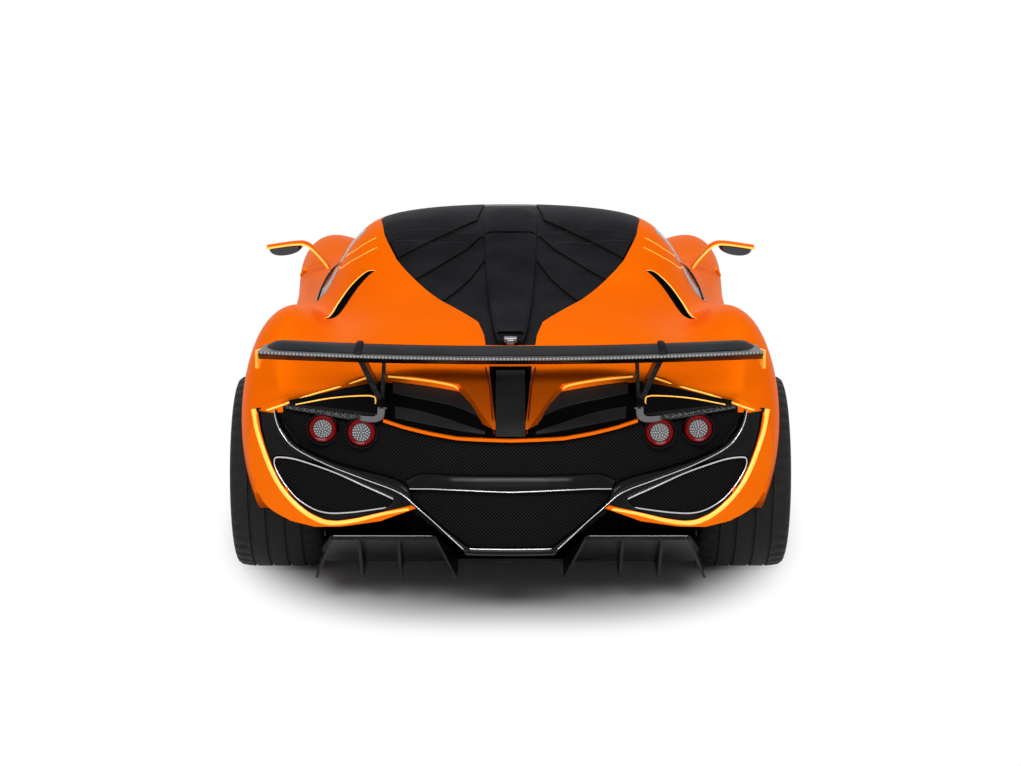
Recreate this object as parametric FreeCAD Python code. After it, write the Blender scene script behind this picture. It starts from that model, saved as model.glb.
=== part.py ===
import FreeCAD, Part
import math
import os

os.makedirs("parts", exist_ok=True)
V = FreeCAD.Vector

# Driving dimensions of the car, in millimetres
LENGTH = 4520.0
BODY_WIDTH = 1970.0
BODY_HEIGHT = 1158.0
WHEELBASE = 2680.0
FRONT_AXLE_X = 1360.0
FRONT_TYRE_R = 340.0
FRONT_TYRE_W = 255.0
FRONT_TYRE_OUTER_Y = 985.0
REAR_TYRE_R = 355.0
REAR_TYRE_W = 335.0
REAR_TYRE_OUTER_Y = 1015.0
RIM_R = 254.0
KINGPIN_Y = 795.0

# Wall thicknesses, gaps and running clearances
WALL = 30.0
GLASS = 6.0
GAP = 5.0
FRONT_GAP = 13.0
DOOR_LIP = 30.0
RUN = 0.3

# Sizes the mapping below is drawn for
DRAWN_LENGTH = 4520.0
DRAWN_WIDTH = 1970.0
DRAWN_HEIGHT = 1158.0
DRAWN_FRONT_X = 1360.0
DRAWN_REAR_X = -1320.0

REAR_AXLE_X = FRONT_AXLE_X - WHEELBASE
FRONT_ARCH_R = FRONT_TYRE_R + 55.0
REAR_ARCH_R = REAR_TYRE_R + 45.0
FRONT_WHEEL_Y = FRONT_TYRE_OUTER_Y - FRONT_TYRE_W / 2
REAR_WHEEL_Y = REAR_TYRE_OUTER_Y - REAR_TYRE_W / 2


# Drawn position along the car to real position
def along(x):
    if x > DRAWN_FRONT_X:
        part = (x - DRAWN_FRONT_X) / (DRAWN_LENGTH / 2 - DRAWN_FRONT_X)
        return FRONT_AXLE_X + part * (LENGTH / 2 - FRONT_AXLE_X)
    if x < DRAWN_REAR_X:
        part = (x - DRAWN_REAR_X) / (-DRAWN_LENGTH / 2 - DRAWN_REAR_X)
        return REAR_AXLE_X + part * (-LENGTH / 2 - REAR_AXLE_X)
    part = (x - DRAWN_REAR_X) / (DRAWN_FRONT_X - DRAWN_REAR_X)
    return REAR_AXLE_X + part * (FRONT_AXLE_X - REAR_AXLE_X)


def across(y):
    return y * BODY_WIDTH / DRAWN_WIDTH


def up(z):
    return z * BODY_HEIGHT / DRAWN_HEIGHT


def point(x, y, z):
    return V(along(x), across(y), up(z))


# Plain solids drawn through the mapping
def prism(corners, push):
    wire = Part.makePolygon(corners + [corners[0]])
    return Part.Face(wire).extrude(push)


def side_prism(outline, y0=-1300, y1=1300):
    corners = [point(x, y0, z) for x, z in outline]
    return prism(corners, V(0, across(y1) - across(y0), 0))


def plan_prism(outline, z0=-200, z1=1500):
    corners = [point(x, y, z0) for x, y in outline]
    return prism(corners, V(0, 0, up(z1) - up(z0)))


def end_prism(outline, x0, x1):
    corners = [point(x0, y, z) for y, z in outline]
    return prism(corners, V(along(x1) - along(x0), 0, 0))


def box(x0, x1, y0, y1, z0, z1):
    a = point(min(x0, x1), min(y0, y1), min(z0, z1))
    b = point(max(x0, x1), max(y0, y1), max(z0, z1))
    return Part.makeBox(b.x - a.x, b.y - a.y, b.z - a.z, a)


def rod(a, b, radius):
    push = b.sub(a)
    return Part.makeCylinder(radius, push.Length, a, push)


def joined(shapes):
    whole = shapes[0]
    for shape in shapes[1:]:
        whole = whole.fuse(shape)
    return whole.removeSplitter()


def mirrored(shape):
    return shape.mirror(V(0, 0, 0), V(0, 1, 0))


def both(shape):
    return Part.makeCompound([shape, mirrored(shape)])


# Outline moved outwards by a distance, or inwards by a negative one
def grown(outline, distance):
    count = len(outline)
    area = 0.0
    for i in range(count):
        a = outline[i]
        b = outline[(i + 1) % count]
        area += a[0] * b[1] - b[0] * a[1]
    turn = 1.0 if area > 0 else -1.0
    result = []
    for i in range(count):
        a = outline[i - 1]
        b = outline[i]
        c = outline[(i + 1) % count]
        u = (b[0] - a[0], b[1] - a[1])
        w = (c[0] - b[0], c[1] - b[1])
        lu = math.hypot(*u)
        lw = math.hypot(*w)
        n = (turn * u[1] / lu, -turn * u[0] / lu)
        m = (turn * w[1] / lw, -turn * w[0] / lw)
        step = distance / (1.0 + n[0] * m[0] + n[1] * m[1])
        result.append((b[0] + step * (n[0] + m[0]), b[1] + step * (n[1] + m[1])))
    return result


# Closed plan outline from a half outline that runs along the left side
def two_sided(half):
    return half + [(x, -y) for x, y in reversed(half) if y > 0.5]


def two_sided_end(half):
    return half + [(-y, z) for y, z in reversed(half) if y > 0.5]


# Cross sections of the body: height and half width from the sill to the centre line
SECTIONS = [
    (-2260, [(540, -60), (560, 150), (620, 300), (670, 450), (690, 560), (695, 640), (685, 690), (655, 708),
             (600, 712), (540, 716), (460, 716), (360, 716), (240, 716), (120, 716), (0, 716)]),
    (-2120, [(640, -60), (690, 150), (750, 300), (806, 450), (836, 570), (830, 660), (806, 725), (770, 752),
             (710, 762), (640, 768), (550, 776), (430, 784), (280, 788), (130, 788), (0, 788)]),
    (-1950, [(740, -60), (790, 150), (852, 300), (915, 450), (932, 590), (916, 690), (872, 758), (815, 798),
             (750, 806), (680, 820), (590, 846), (460, 862), (290, 866), (130, 862), (0, 860)]),
    (-1650, [(810, -60), (850, 150), (912, 300), (955, 450), (972, 600), (968, 740), (922, 855), (825, 912),
             (750, 874), (670, 868), (570, 893), (440, 922), (290, 936), (130, 928), (0, 924)]),
    (-1320, [(820, -60), (860, 150), (910, 300), (950, 450), (975, 600), (975, 780), (918, 936), (805, 993),
             (705, 915), (620, 872), (520, 915), (400, 945), (260, 957), (120, 953), (0, 950)]),
    (-1000, [(820, -60), (860, 150), (905, 300), (940, 450), (965, 600), (965, 770), (905, 900), (800, 950),
             (720, 880), (650, 852), (560, 925), (440, 968), (280, 985), (130, 982), (0, 980)]),
    (-650, [(820, -60), (860, 150), (890, 300), (915, 450), (935, 600), (935, 730), (890, 815), (820, 850),
            (760, 840), (705, 862), (640, 955), (560, 1022), (430, 1055), (220, 1068), (0, 1072)]),
    (-300, [(820, -60), (860, 150), (870, 300), (890, 450), (915, 600), (915, 700), (885, 760), (840, 790),
            (790, 815), (745, 880), (700, 970), (640, 1057), (540, 1127), (280, 1140), (0, 1142)]),
    (100, [(820, -60), (860, 150), (865, 300), (885, 450), (915, 600), (915, 690), (890, 745), (850, 775),
           (800, 800), (750, 850), (700, 940), (630, 1042), (530, 1122), (280, 1154), (0, 1160)]),
    (500, [(820, -60), (860, 150), (865, 300), (890, 450), (925, 600), (930, 690), (905, 755), (860, 785),
           (805, 795), (745, 815), (680, 875), (600, 950), (480, 1010), (260, 1050), (0, 1062)]),
    (880, [(820, -60), (865, 150), (880, 300), (915, 450), (955, 590), (962, 690), (930, 770), (865, 805),
           (790, 790), (710, 775), (620, 790), (500, 830), (360, 860), (180, 878), (0, 884)]),
    (1360, [(840, -60), (880, 150), (920, 300), (960, 450), (985, 570), (985, 680), (945, 775), (860, 822),
            (760, 800), (660, 765), (560, 742), (440, 736), (300, 740), (150, 743), (0, 744)]),
    (1780, [(800, -60), (840, 150), (890, 300), (940, 430), (965, 530), (960, 620), (920, 700), (835, 740),
            (740, 710), (640, 660), (540, 630), (420, 622), (290, 626), (140, 632), (0, 634)]),
    (2060, [(720, -60), (760, 150), (810, 300), (850, 400), (872, 480), (866, 550), (828, 610), (750, 640),
            (670, 620), (590, 585), (500, 560), (390, 550), (260, 552), (130, 556), (0, 558)]),
    (2260, [(620, -60), (650, 150), (690, 280), (730, 350), (745, 410), (740, 460), (710, 500), (640, 520),
            (570, 512), (490, 500), (410, 490), (320, 486), (210, 487), (100, 490), (0, 490)]),
]

# Plan curves that round off the tail and the nose
TAIL_CURVE = [(0, -2260), (110, -2255), (205, -2240), (305, -2215), (424, -2165), (540, -2125),
              (640, -2085), (740, -2045), (830, -1995), (950, -1915), (1100, -1800)]
NOSE_CURVE = [(0, 2236), (150, 2230), (350, 2200), (520, 2145), (680, 2060), (800, 1960),
              (920, 1820), (1100, 1560)]


def inset_section(section, depth):
    count = len(section)
    result = []
    for i in range(count):
        if i == count - 1:
            result.append((0.0, section[i][1] - depth))
            continue
        if i == 0:
            result.append((section[i][0] - depth, section[i][1]))
            continue
        normals = []
        for a, b in ((i - 1, i), (i, i + 1)):
            if a < 0:
                continue
            dy = section[b][0] - section[a][0]
            dz = section[b][1] - section[a][1]
            size = math.hypot(dy, dz)
            normals.append((dz / size, -dy / size))
        ny = sum(n[0] for n in normals)
        nz = sum(n[1] for n in normals)
        size = math.hypot(ny, nz)
        result.append((section[i][0] - depth * ny / size, section[i][1] - depth * nz / size))
    return result


def net_solid(rows):
    across_count = len(rows[0])
    along_count = len(rows)

    def steps(count):
        marks = [4] + [1] * (count - 4) + [4]
        return marks, list(range(len(marks)))

    mu, ku = steps(along_count)
    mv, kv = steps(across_count)
    surface = Part.BSplineSurface()
    surface.buildFromPolesMultsKnots(rows, mu, mv, ku, kv, False, False, 3, 3)
    first, last = ku[0], ku[-1]
    left, right = kv[0], kv[-1]
    faces = [surface.toShape()]
    start = surface.uIso(first).toShape()
    end = surface.uIso(last).toShape()
    foot_left = surface.vIso(left).toShape()
    foot_right = surface.vIso(right).toShape()
    for edge in (start, end):
        a = edge.valueAt(edge.FirstParameter)
        b = edge.valueAt(edge.LastParameter)
        faces.append(Part.Face(Part.Wire([edge, Part.makeLine(b, a)])))
    a0 = foot_left.valueAt(foot_left.FirstParameter)
    a1 = foot_left.valueAt(foot_left.LastParameter)
    b0 = foot_right.valueAt(foot_right.FirstParameter)
    b1 = foot_right.valueAt(foot_right.LastParameter)
    faces.append(Part.Face(Part.Wire([foot_left, Part.makeLine(a1, b1), foot_right, Part.makeLine(b0, a0)])))
    shell = Part.makeShell(faces)
    shell.sewShape()
    solid = Part.Solid(shell)
    if solid.Volume < 0:
        solid.reverse()
    return solid


# Curved plan wall from a half curve of across and along positions
def plan_wall(curve, shift, far):
    points = [point(x, -y, -200) for y, x in reversed(curve[1:])]
    points += [point(x, y, -200) for y, x in curve]
    points = [V(p.x + shift, p.y, p.z) for p in points]
    spline = Part.BSplineCurve()
    spline.interpolate(points)
    edge = spline.toShape()
    a, b = points[0], points[-1]
    fa = V(along(far), a.y, a.z)
    fb = V(along(far), b.y, b.z)
    wire = Part.Wire([edge, Part.makeLine(b, fb), Part.makeLine(fb, fa), Part.makeLine(fa, a)])
    return Part.Face(wire).extrude(V(0, 0, 1700))


SKINS = {}
LAYERS = {}


# Body skin moved inwards by a depth, as one closed solid
def skin(depth):
    if depth in SKINS:
        return SKINS[depth]
    rows = []
    for number, (x, section) in enumerate(SECTIONS):
        half = inset_section(section, depth)
        if number == 0:
            x = x - 40
        if number == len(SECTIONS) - 1:
            x = x + 40
        row = [point(x, y, z) for y, z in half]
        row += [point(x, -y, z) for y, z in reversed(half[:-1])]
        rows.append(row)
    solid = net_solid(rows)
    solid = solid.common(plan_wall(TAIL_CURVE, depth, 2600))
    solid = solid.common(plan_wall(NOSE_CURVE, -depth, -2600))
    SKINS[depth] = solid
    return solid


def layer(depth0, depth1):
    if (depth0, depth1) not in LAYERS:
        LAYERS[(depth0, depth1)] = skin(depth0).cut(skin(depth1))
    return LAYERS[(depth0, depth1)]


# Outlines that split the body into its panels
FLOOR_Z = 130
SILL_Z = 195
TAIL_SPLIT_Z = 737
BUMPER_X = 1790
COWL_X = 1075
SCREEN_X = 1000
ROOF_X = 210
COVER_X = -470

TONGUE = [(-470, 492), (-560, 472), (-678, 445), (-790, 407), (-901, 366), (-1030, 316), (-1155, 264),
          (-1235, 220), (-1314, 179), (-1380, 146), (-1440, 118), (-1593, 95), (-1700, 88)]
ROOF_EDGE = [(210, 500), (100, 524), (-100, 534), (-386, 507), (-470, 492)]
SCREEN_EDGE = [(1000, 0), (1000, 470), (960, 540), (880, 580), (700, 600), (500, 590), (350, 560), (210, 500),
               (210, 0)]
BONNET_EDGE = [(1080, 0), (1080, 560), (1200, 580), (1500, 560), (1750, 500), (1900, 400), (1935, 250),
               (1945, 0)]
WINDOW = [(640, 797), (540, 890), (60, 1066), (-200, 1066), (-445, 816)]
DOOR = [(800, 200), (652, 802), (-450, 826), (-505, 500), (-425, 200)]
RAIL = [(-460, 822), (-460, 1250), (400, 1250), (1050, 960), (1050, 848), (780, 815), (640, 800)]
TAIL_EDGE = [(-2244, 0), (-2244, 58), (-2155, 100), (-2064, 138), (-1998, 177), (-1962, 295), (-1930, 413),
             (-1913, 469), (-1947, 571), (-1971, 691), (-2000, 812), (-2012, 1100), (-2400, 1100), (-2400, 0)]
MASK = [(0, 760), (876, 760), (872, 725), (864, 668), (848, 611), (822, 541), (786, 478), (739, 430),
        (690, 397), (640, 379), (596, 379), (525, 397), (438, 426), (334, 462), (150, 334), (0, 334)]
LOW_CUT = [(0, 470), (324, 452), (445, 394), (583, 361), (672, 350), (763, 362), (850, 404), (900, 471),
           (1100, 471), (1100, 50)]
REAR_RISE = [(-1600, 50), (-1600, 285), (-1700, 300), (-2000, 335), (-2400, 335), (-2400, 50)]


def closed_tongue(shrink):
    half = [(COVER_X - shrink, 0)]
    for i, (x, y) in enumerate(TONGUE):
        extra = 0.8 * shrink if i < 3 else 0.0
        half.append((x - (shrink if i == 0 else 0), y - shrink - extra))
    half[-1] = (TONGUE[-1][0] + shrink, TONGUE[-1][1] - shrink)
    half.append((TONGUE[-1][0] + shrink, 0))
    return two_sided(half)


ARCH_CROWN_Z = 610


def arch(axle_x, radius, axle_z):
    tool = Part.makeCylinder(radius, 800, V(axle_x, across(700), axle_z), V(0, 1, 0))
    crown = Part.makeBox(2 * radius, across(195), radius, V(axle_x - radius, across(700), up(ARCH_CROWN_Z)))
    tool = tool.cut(crown)
    return [tool, mirrored(tool)]


def shaped_wall(depth0, depth1):
    wall = layer(depth0, depth1)
    tools = [box(-2500, 2500, -1300, 1300, -400, FLOOR_Z)]
    tools += arch(FRONT_AXLE_X, FRONT_ARCH_R, FRONT_TYRE_R)
    tools += arch(REAR_AXLE_X, REAR_ARCH_R, REAR_TYRE_R)
    tools.append(side_prism(REAR_RISE))
    for tool in tools:
        wall = wall.cut(tool)
    return wall


BODY = shaped_wall(0, WALL)

DOOR_TOOL = side_prism(grown(DOOR, GAP))
WINDOW_TOOL = side_prism(grown(WINDOW, GAP))
TAIL_TOOL = plan_prism(two_sided(TAIL_EDGE))
SCREEN_TOOL = plan_prism(two_sided(SCREEN_EDGE))
ROOF_TOOL = plan_prism(two_sided([(ROOF_X, 0)] + ROOF_EDGE + [(COVER_X, 0)]))
LEFT_HALF = box(-2600, 2600, 0, 1400, -300, 1500)


def largest(shape):
    return max(shape.Solids, key=lambda solid: solid.Volume)


def main_pieces(shape, least=20000.0):
    solids = [solid for solid in shape.Solids if solid.Volume > least]
    if len(solids) == 1:
        return solids[0]
    return Part.makeCompound(solids)


NODES = {}


def keep(name, shape):
    NODES[name] = shape


# Front bumper with its intakes, grilles, splitter and headlamps
CENTRE_INTAKE = [(0, 190), (420, 190), (470, 250), (420, 330), (0, 350)]
CORNER_INTAKE = [(520, 200), (760, 215), (800, 330), (740, 400), (560, 330)]
LAMP_PLAN = [(1985, 600), (1975, 690), (1900, 775), (1830, 835), (1796, 855), (1796, 780), (1850, 712),
             (1920, 640)]


# Towing eye socket and jacking pads
TOW_X = 2209
TOW_Y = -300
TOW_Z = 270
TOW_BORE_R = 8.0
TOW_THREAD = 24
JACK_PLACES = ((800, 700), (-800, 700))
JACK_PAD_Z = 118
JACK_PAD_R = 40.0


# Bonnet outline with its gap, wider at the front where the lid swings in
def bonnet_opening():
    half = [(COWL_X, 0)]
    for x, y in BONNET_EDGE[1:]:
        ahead = FRONT_GAP if x > 1880 else 0
        half.append((x + ahead, y + GAP if y else 0))
    return two_sided(half)


def front_end():
    region = box(BUMPER_X, 2500, -1300, 1300, FLOOR_Z, 1300)
    bumper = BODY.common(region).cut(plan_prism(bonnet_opening()))
    centre = end_prism(two_sided_end(CENTRE_INTAKE), 1800, 2400)
    corner = end_prism(CORNER_INTAKE, 1800, 2400)
    lamp = plan_prism(LAMP_PLAN, 520, 900)
    for tool in (centre, corner, mirrored(corner), lamp, mirrored(lamp)):
        bumper = bumper.cut(tool)
    keep("front_bumper", main_pieces(bumper))
    inner = layer(WALL, WALL + 10)
    mouth = point(TOW_X, TOW_Y, TOW_Z)
    thread_end = mouth.sub(V(TOW_THREAD, 0, 0))
    relief = rod(mouth.sub(V(60, 0, 0)), thread_end, TOW_BORE_R + 3)
    bore = rod(thread_end, mouth, TOW_BORE_R)
    grille = inner.common(end_prism(two_sided_end(grown(CENTRE_INTAKE, 20)[1:-1] + [(0, 370)]), 1900, 2400))
    side_grille = largest(inner.common(end_prism(grown(CORNER_INTAKE, 20), 1840, 2400)))
    grille = main_pieces(grille.cut(relief))
    keep("front_grilles", Part.makeCompound([grille, side_grille, mirrored(side_grille)]))
    socket = rod(mouth.sub(V(89, 0, 0)), mouth, TOW_BORE_R + 9).cut(skin(WALL))
    keep("tow_eye_socket", largest(socket.cut(relief).cut(bore)))
    glass = layer(2, WALL).common(lamp)
    keep("headlamps", both(largest(glass)))
    outline = [(1830, 0), (1830, 700), (1850, 850), (1960, 800), (2060, 700), (2150, 540), (2215, 360),
               (2248, 150), (2260, 0)]
    keep("front_splitter", plan_prism(two_sided(outline), 114, FLOOR_Z))


# Bonnet, fenders and the panel at the foot of the windscreen
def bonnet_and_fenders():
    bonnet = BODY.common(plan_prism(two_sided(BONNET_EDGE), 500, 1000))
    keep("bonnet", largest(bonnet))
    tool = plan_prism(bonnet_opening(), 480, 1100)
    cowl_plan = plan_prism(two_sided([(SCREEN_X, 0), (SCREEN_X, 560), (COWL_X, 560), (COWL_X, 0)]), 500, 1100)
    cowl = BODY.common(cowl_plan)
    keep("cowl_panel", largest(cowl))
    fender = BODY.common(box(600, BUMPER_X, 0, 1300, SILL_Z, 1300))
    fender = fender.cut(DOOR_TOOL).cut(WINDOW_TOOL).cut(tool).cut(cowl_plan).cut(SCREEN_TOOL)
    fender = fender.cut(side_prism(RAIL))
    gap_cut = plan_prism(two_sided([(COWL_X, 0), (COWL_X, 566), (1090, 566), (1090, 0)]), 500, 1100)
    fender = fender.cut(gap_cut)
    fender = largest(fender)
    keep("fender_left", fender)
    keep("fender_right", mirrored(fender))


# Windscreen, roof, rails and side glass
STEP = 7.0
STEP_LINES = [
    [(230, 111), (53, 111), (-273, 136), (-430, 242), (-568, 358), (-700, 480)],
    [(-465, 0), (-465, 115), (-494, 129), (-600, 172), (-795, 304), (-879, 371), (-960, 440)],
    [(-700, 0), (-700, 105), (-741, 115), (-876, 156), (-1012, 211), (-1130, 261), (-1200, 320)],
]
SPINE = [(-300, 107), (-732, 96), (-1152, 80), (-1533, 59), (-1650, 46)]


def behind(line):
    half = list(line) + [(-2400, line[-1][1]), (-2400, 0)]
    if line[0][1] > 0:
        half = [(line[0][0], 0)] + half
    return plan_prism(two_sided(half))


def stepped_skin(region):
    areas = [behind(line) for line in STEP_LINES]
    pieces = []
    for level in range(4):
        depth = STEP * level
        place = region
        if level > 0:
            place = place.common(areas[level - 1])
        if level < 3:
            place = place.cut(areas[level])
        pieces.append(skin(depth).common(place).cut(skin(depth + 20)))
    return joined(pieces)


def greenhouse():
    screen = layer(0, GLASS).common(SCREEN_TOOL)
    keep("windscreen", largest(screen))
    roof = stepped_skin(ROOF_TOOL)
    spine_plan = plan_prism(two_sided([(-300, 0)] + SPINE + [(-1650, 0)]), 700, 1300)
    roof = roof.fuse(skin(0).common(spine_plan.common(ROOF_TOOL)).cut(skin(20))).removeSplitter()
    keep("roof_panel", main_pieces(roof))
    cover_region = plan_prism(closed_tongue(GAP), 700, 1300)
    cover = stepped_skin(cover_region)
    cover = cover.fuse(skin(0).common(spine_plan.common(cover_region)).cut(skin(20))).removeSplitter()
    keep("engine_cover", main_pieces(cover))
    rail = BODY.common(side_prism(RAIL)).common(LEFT_HALF)
    rail = rail.cut(DOOR_TOOL).cut(WINDOW_TOOL).cut(SCREEN_TOOL).cut(ROOF_TOOL)
    rail = rail.cut(plan_prism([(SCREEN_X, -10), (SCREEN_X, 560), (1300, 560), (1300, -10)]))
    rail = rail.cut(side_prism([(-475, 790), (-475, 838), (-436, 838), (-436, 790)]))
    rail = largest(rail)
    keep("roof_rail_left", rail)
    keep("roof_rail_right", mirrored(rail))
    glass = layer(0, GLASS).common(side_prism(WINDOW)).common(LEFT_HALF).cut(side_prism(DOOR))
    glass = largest(glass)
    keep("door_glass_left", glass)
    keep("door_glass_right", mirrored(glass))


# Doors with their mirrors
MIRROR_ARCH = [(780, 790), (806, 790), (824, 818), (852, 853), (881, 882), (907, 896), (945, 897),
               (1000, 890), (1066, 880), (1067, 892), (1000, 903), (944, 910), (902, 909), (870, 894),
               (836, 863), (806, 826)]
MIRROR_CUP = [(912, 901), (1056, 886), (1046, 858), (1024, 846), (990, 842), (952, 844), (926, 858),
              (914, 876)]


def doors():
    outer = BODY.common(side_prism(DOOR, 700, 1300))
    inner = skin(WALL - 1).common(side_prism(grown(DOOR, -DOOR_LIP), 775, 1300))
    door = largest(outer.fuse(inner).removeSplitter())
    keep("door_left", door)
    keep("door_right", mirrored(door))
    blade = end_prism(MIRROR_ARCH, 470, 565)
    housing = end_prism(MIRROR_CUP, 486, 586)
    mirror = blade.fuse(housing).removeSplitter().cut(door)
    keep("mirror_left", largest(mirror))
    keep("mirror_right", mirrored(largest(mirror)))


# Rear quarters with the deck, the bumper corners, the tail fascia and the vents
LIP_LINE = [(0, 696), (179, 700), (263, 711), (365, 727), (430, 742)]
LIP_HEIGHT = 10
LIP_DEPTH = 2 * STEP
BAND = [(-1870, 0), (-1870, 74), (-2080, 62), (-2205, 52), (-2205, 0)]
CORNER_CUT = [(-1700, 50), (-1700, 310), (-1800, 365), (-1900, 425), (-2050, 450), (-2050, 50)]
LAMP_PLACES = ((641, -2128), (506, -2158))
LAMP_Z = 701
LAMP_R = 55
SHELF = [(432, 842), (765, 790), (752, 770), (455, 757), (432, 770)]
SHELF_PLAN = [(-1960, 432), (-2010, 765), (-2300, 765), (-2300, 432)]


def rear_body():
    quarter = BODY.common(box(-2600, -460, 0, 1300, SILL_Z, 1300))
    band = plan_prism(two_sided(BAND), 500, 1000)
    low_rear = box(-2600, -1640, -1300, 1300, 0, TAIL_SPLIT_Z)
    for tool in (DOOR_TOOL, WINDOW_TOOL, plan_prism(closed_tongue(0), 500, 1400), ROOF_TOOL, TAIL_TOOL, band,
                 low_rear):
        quarter = quarter.cut(tool)
    quarter = main_pieces(quarter)
    keep("rear_quarter_left", quarter)
    keep("rear_quarter_right", mirrored(quarter))
    low_cut = end_prism(two_sided_end(LOW_CUT), -2500, -1900)
    mask = end_prism(two_sided_end(MASK), -2500, -1900)
    corner = side_prism(CORNER_CUT, 800, 1300)
    bumper = BODY.common(low_rear).cut(mask).cut(low_cut).cut(corner).cut(mirrored(corner))
    keep("rear_bumper", main_pieces(bumper))
    lip_top = [(y, z + LIP_HEIGHT) for y, z in reversed(LIP_LINE)]
    lip_place = end_prism(two_sided_end(LIP_LINE + lip_top), -2500, -2000)
    lip = skin(0).common(lip_place).cut(skin(LIP_DEPTH)).cut(quarter).cut(mirrored(quarter))
    keep("tail_lip", main_pieces(lip, 3000.0))
    inner = layer(WALL, WALL + 10)
    above_lip = end_prism(two_sided_end(LIP_LINE + [(430, 900), (0, 900)]), -2500, -1850)
    ledge = skin(LIP_DEPTH).common(lip_place).cut(skin(WALL)).cut(quarter).cut(mirrored(quarter))
    centre = layer(3, WALL).common(band).common(box(-2600, -1600, -200, 200, 712, 1200))
    tray = joined([largest(inner.common(above_lip)), main_pieces(ledge, 3000.0), main_pieces(centre)])
    keep("vent_panel", tray)
    upper = inner.common(plan_prism(two_sided([(-1850, 0), (-1890, 469)] + TAIL_EDGE[8:]))).cut(above_lip)
    upper = upper.common(box(-2600, -1700, -1300, 1300, TAIL_SPLIT_Z, 1300))
    lower = inner.common(end_prism(two_sided_end(grown(MASK, 22)[1:-1] + [(0, 312)]), -2500, -1900))
    lower = lower.cut(above_lip).common(box(-2600, -1960, -1300, 1300, 0, TAIL_SPLIT_Z))
    fascia = upper.fuse(lower).removeSplitter()
    lamps = [rod(point(-2020, y, LAMP_Z), point(x, y, LAMP_Z), LAMP_R) for y, x in LAMP_PLACES]
    for lamp in lamps:
        fascia = fascia.cut(lamp).cut(mirrored(lamp))
    keep("rear_fascia", main_pieces(fascia))
    keep("tail_lamps", both(Part.makeCompound(lamps)))
    shelf = layer(3, WALL).common(end_prism(SHELF, -2500, -1930)).common(TAIL_TOOL)
    shelf = largest(shelf.cut(lamps[0]).cut(lamps[1]).common(plan_prism(SHELF_PLAN)))
    keep("lamp_shelves", both(shelf))
    return {"quarter": quarter, "tray": tray, "shelf": shelf, "fascia": fascia}


# Arms of the tail V, diffuser, wing and wing struts
ARM = [(752, 775), (648, 598), (374, 512), (150, 326), (-150, 326), (-374, 512), (-648, 598), (-752, 775),
       (-772, 752), (-668, 560), (-395, 482), (-165, 300), (165, 300), (395, 482), (668, 560), (772, 752)]
FOIL = [(-1852, 962), (-1880, 974), (-1960, 984), (-2050, 984), (-2150, 962), (-2150, 954), (-2040, 958),
        (-1930, 950), (-1870, 950)]
END_PLATE = [(-1860, 996), (-2155, 996), (-2155, 912), (-2080, 908), (-1960, 930), (-1860, 940)]
WING_HALF = 850
END_PLATE_T = 8


def tail_parts(rear):
    arms = layer(0, WALL).common(end_prism(ARM, -2500, -1900))
    for name in ("rear_fascia", "lamp_shelves", "tail_lamps", "rear_bumper", "rear_quarter_left",
                 "rear_quarter_right"):
        arms = arms.cut(NODES[name])
    keep("rear_arms", largest(arms))
    roof = side_prism([(-1690, FLOOR_Z), (-1690, 144), (-1830, 190), (-2130, 334), (-2130, 320), (-1830, 176),
                       (-1750, FLOOR_Z)], 215, 660)
    tunnel = [roof.common(end_prism([(150, 100), (270, 345), (612, 345), (720, 100)], -2300, -1500))]
    side_view = side_prism([(-1740, FLOOR_Z), (-1950, FLOOR_Z), (-2128, 322), (-2128, 333), (-1830, 189),
                            (-1720, 150)])
    for low, high in ((188, 262), (385, 385), (520, 520), (684, 606)):
        fin = end_prism([(low - 5, 120), (low + 5, 120), (high + 5, 336), (high - 5, 336)], -2300, -1500)
        tunnel.append(fin.common(side_view))
    tunnel = joined(tunnel)
    bridge = side_prism([(-1690, FLOOR_Z), (-1690, 142), (-1760, 142), (-1760, FLOOR_Z)], -300, 300)
    keep("diffuser", joined([tunnel, mirrored(tunnel), bridge]))
    plane = side_prism(FOIL, -WING_HALF, WING_HALF)
    tip = side_prism(END_PLATE, WING_HALF, WING_HALF + END_PLATE_T)
    keep("rear_wing", joined([plane, tip, mirrored(tip)]))
    slope = end_prism([(508, 953), (528, 953), (452, 790), (432, 790)], -2070, -1975)
    stand = end_prism([(424, 953), (436, 953), (444, 790), (432, 790)], -2060, -1985)
    strut = slope.fuse(stand).removeSplitter()
    for other in (plane, rear["shelf"], rear["tray"], rear["fascia"], rear["quarter"], skin(WALL)):
        strut = strut.cut(other)
    keep("wing_struts", both(largest(strut)))


# Floor, tub with its bulkheads and sills, and the side skirts
TUB_WALL_Y = 398
ENGINE_RAIL_Y = 330
ENGINE_RAIL_OUTER_Y = 390


FLOOR_PLAN = [(1900, 0), (1900, 540), (900, 540), (900, 800), (-880, 800), (-880, 600), (-1690, 600),
              (-1690, 0)]
TUB_PLAN = [(1800, 0), (1800, 400), (970, 400), (970, 570), (870, 570), (870, 765), (-470, 765), (-470, 0)]
FLOOR_TOP_Z = 142
TUB_FLOOR_Z = 162


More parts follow.
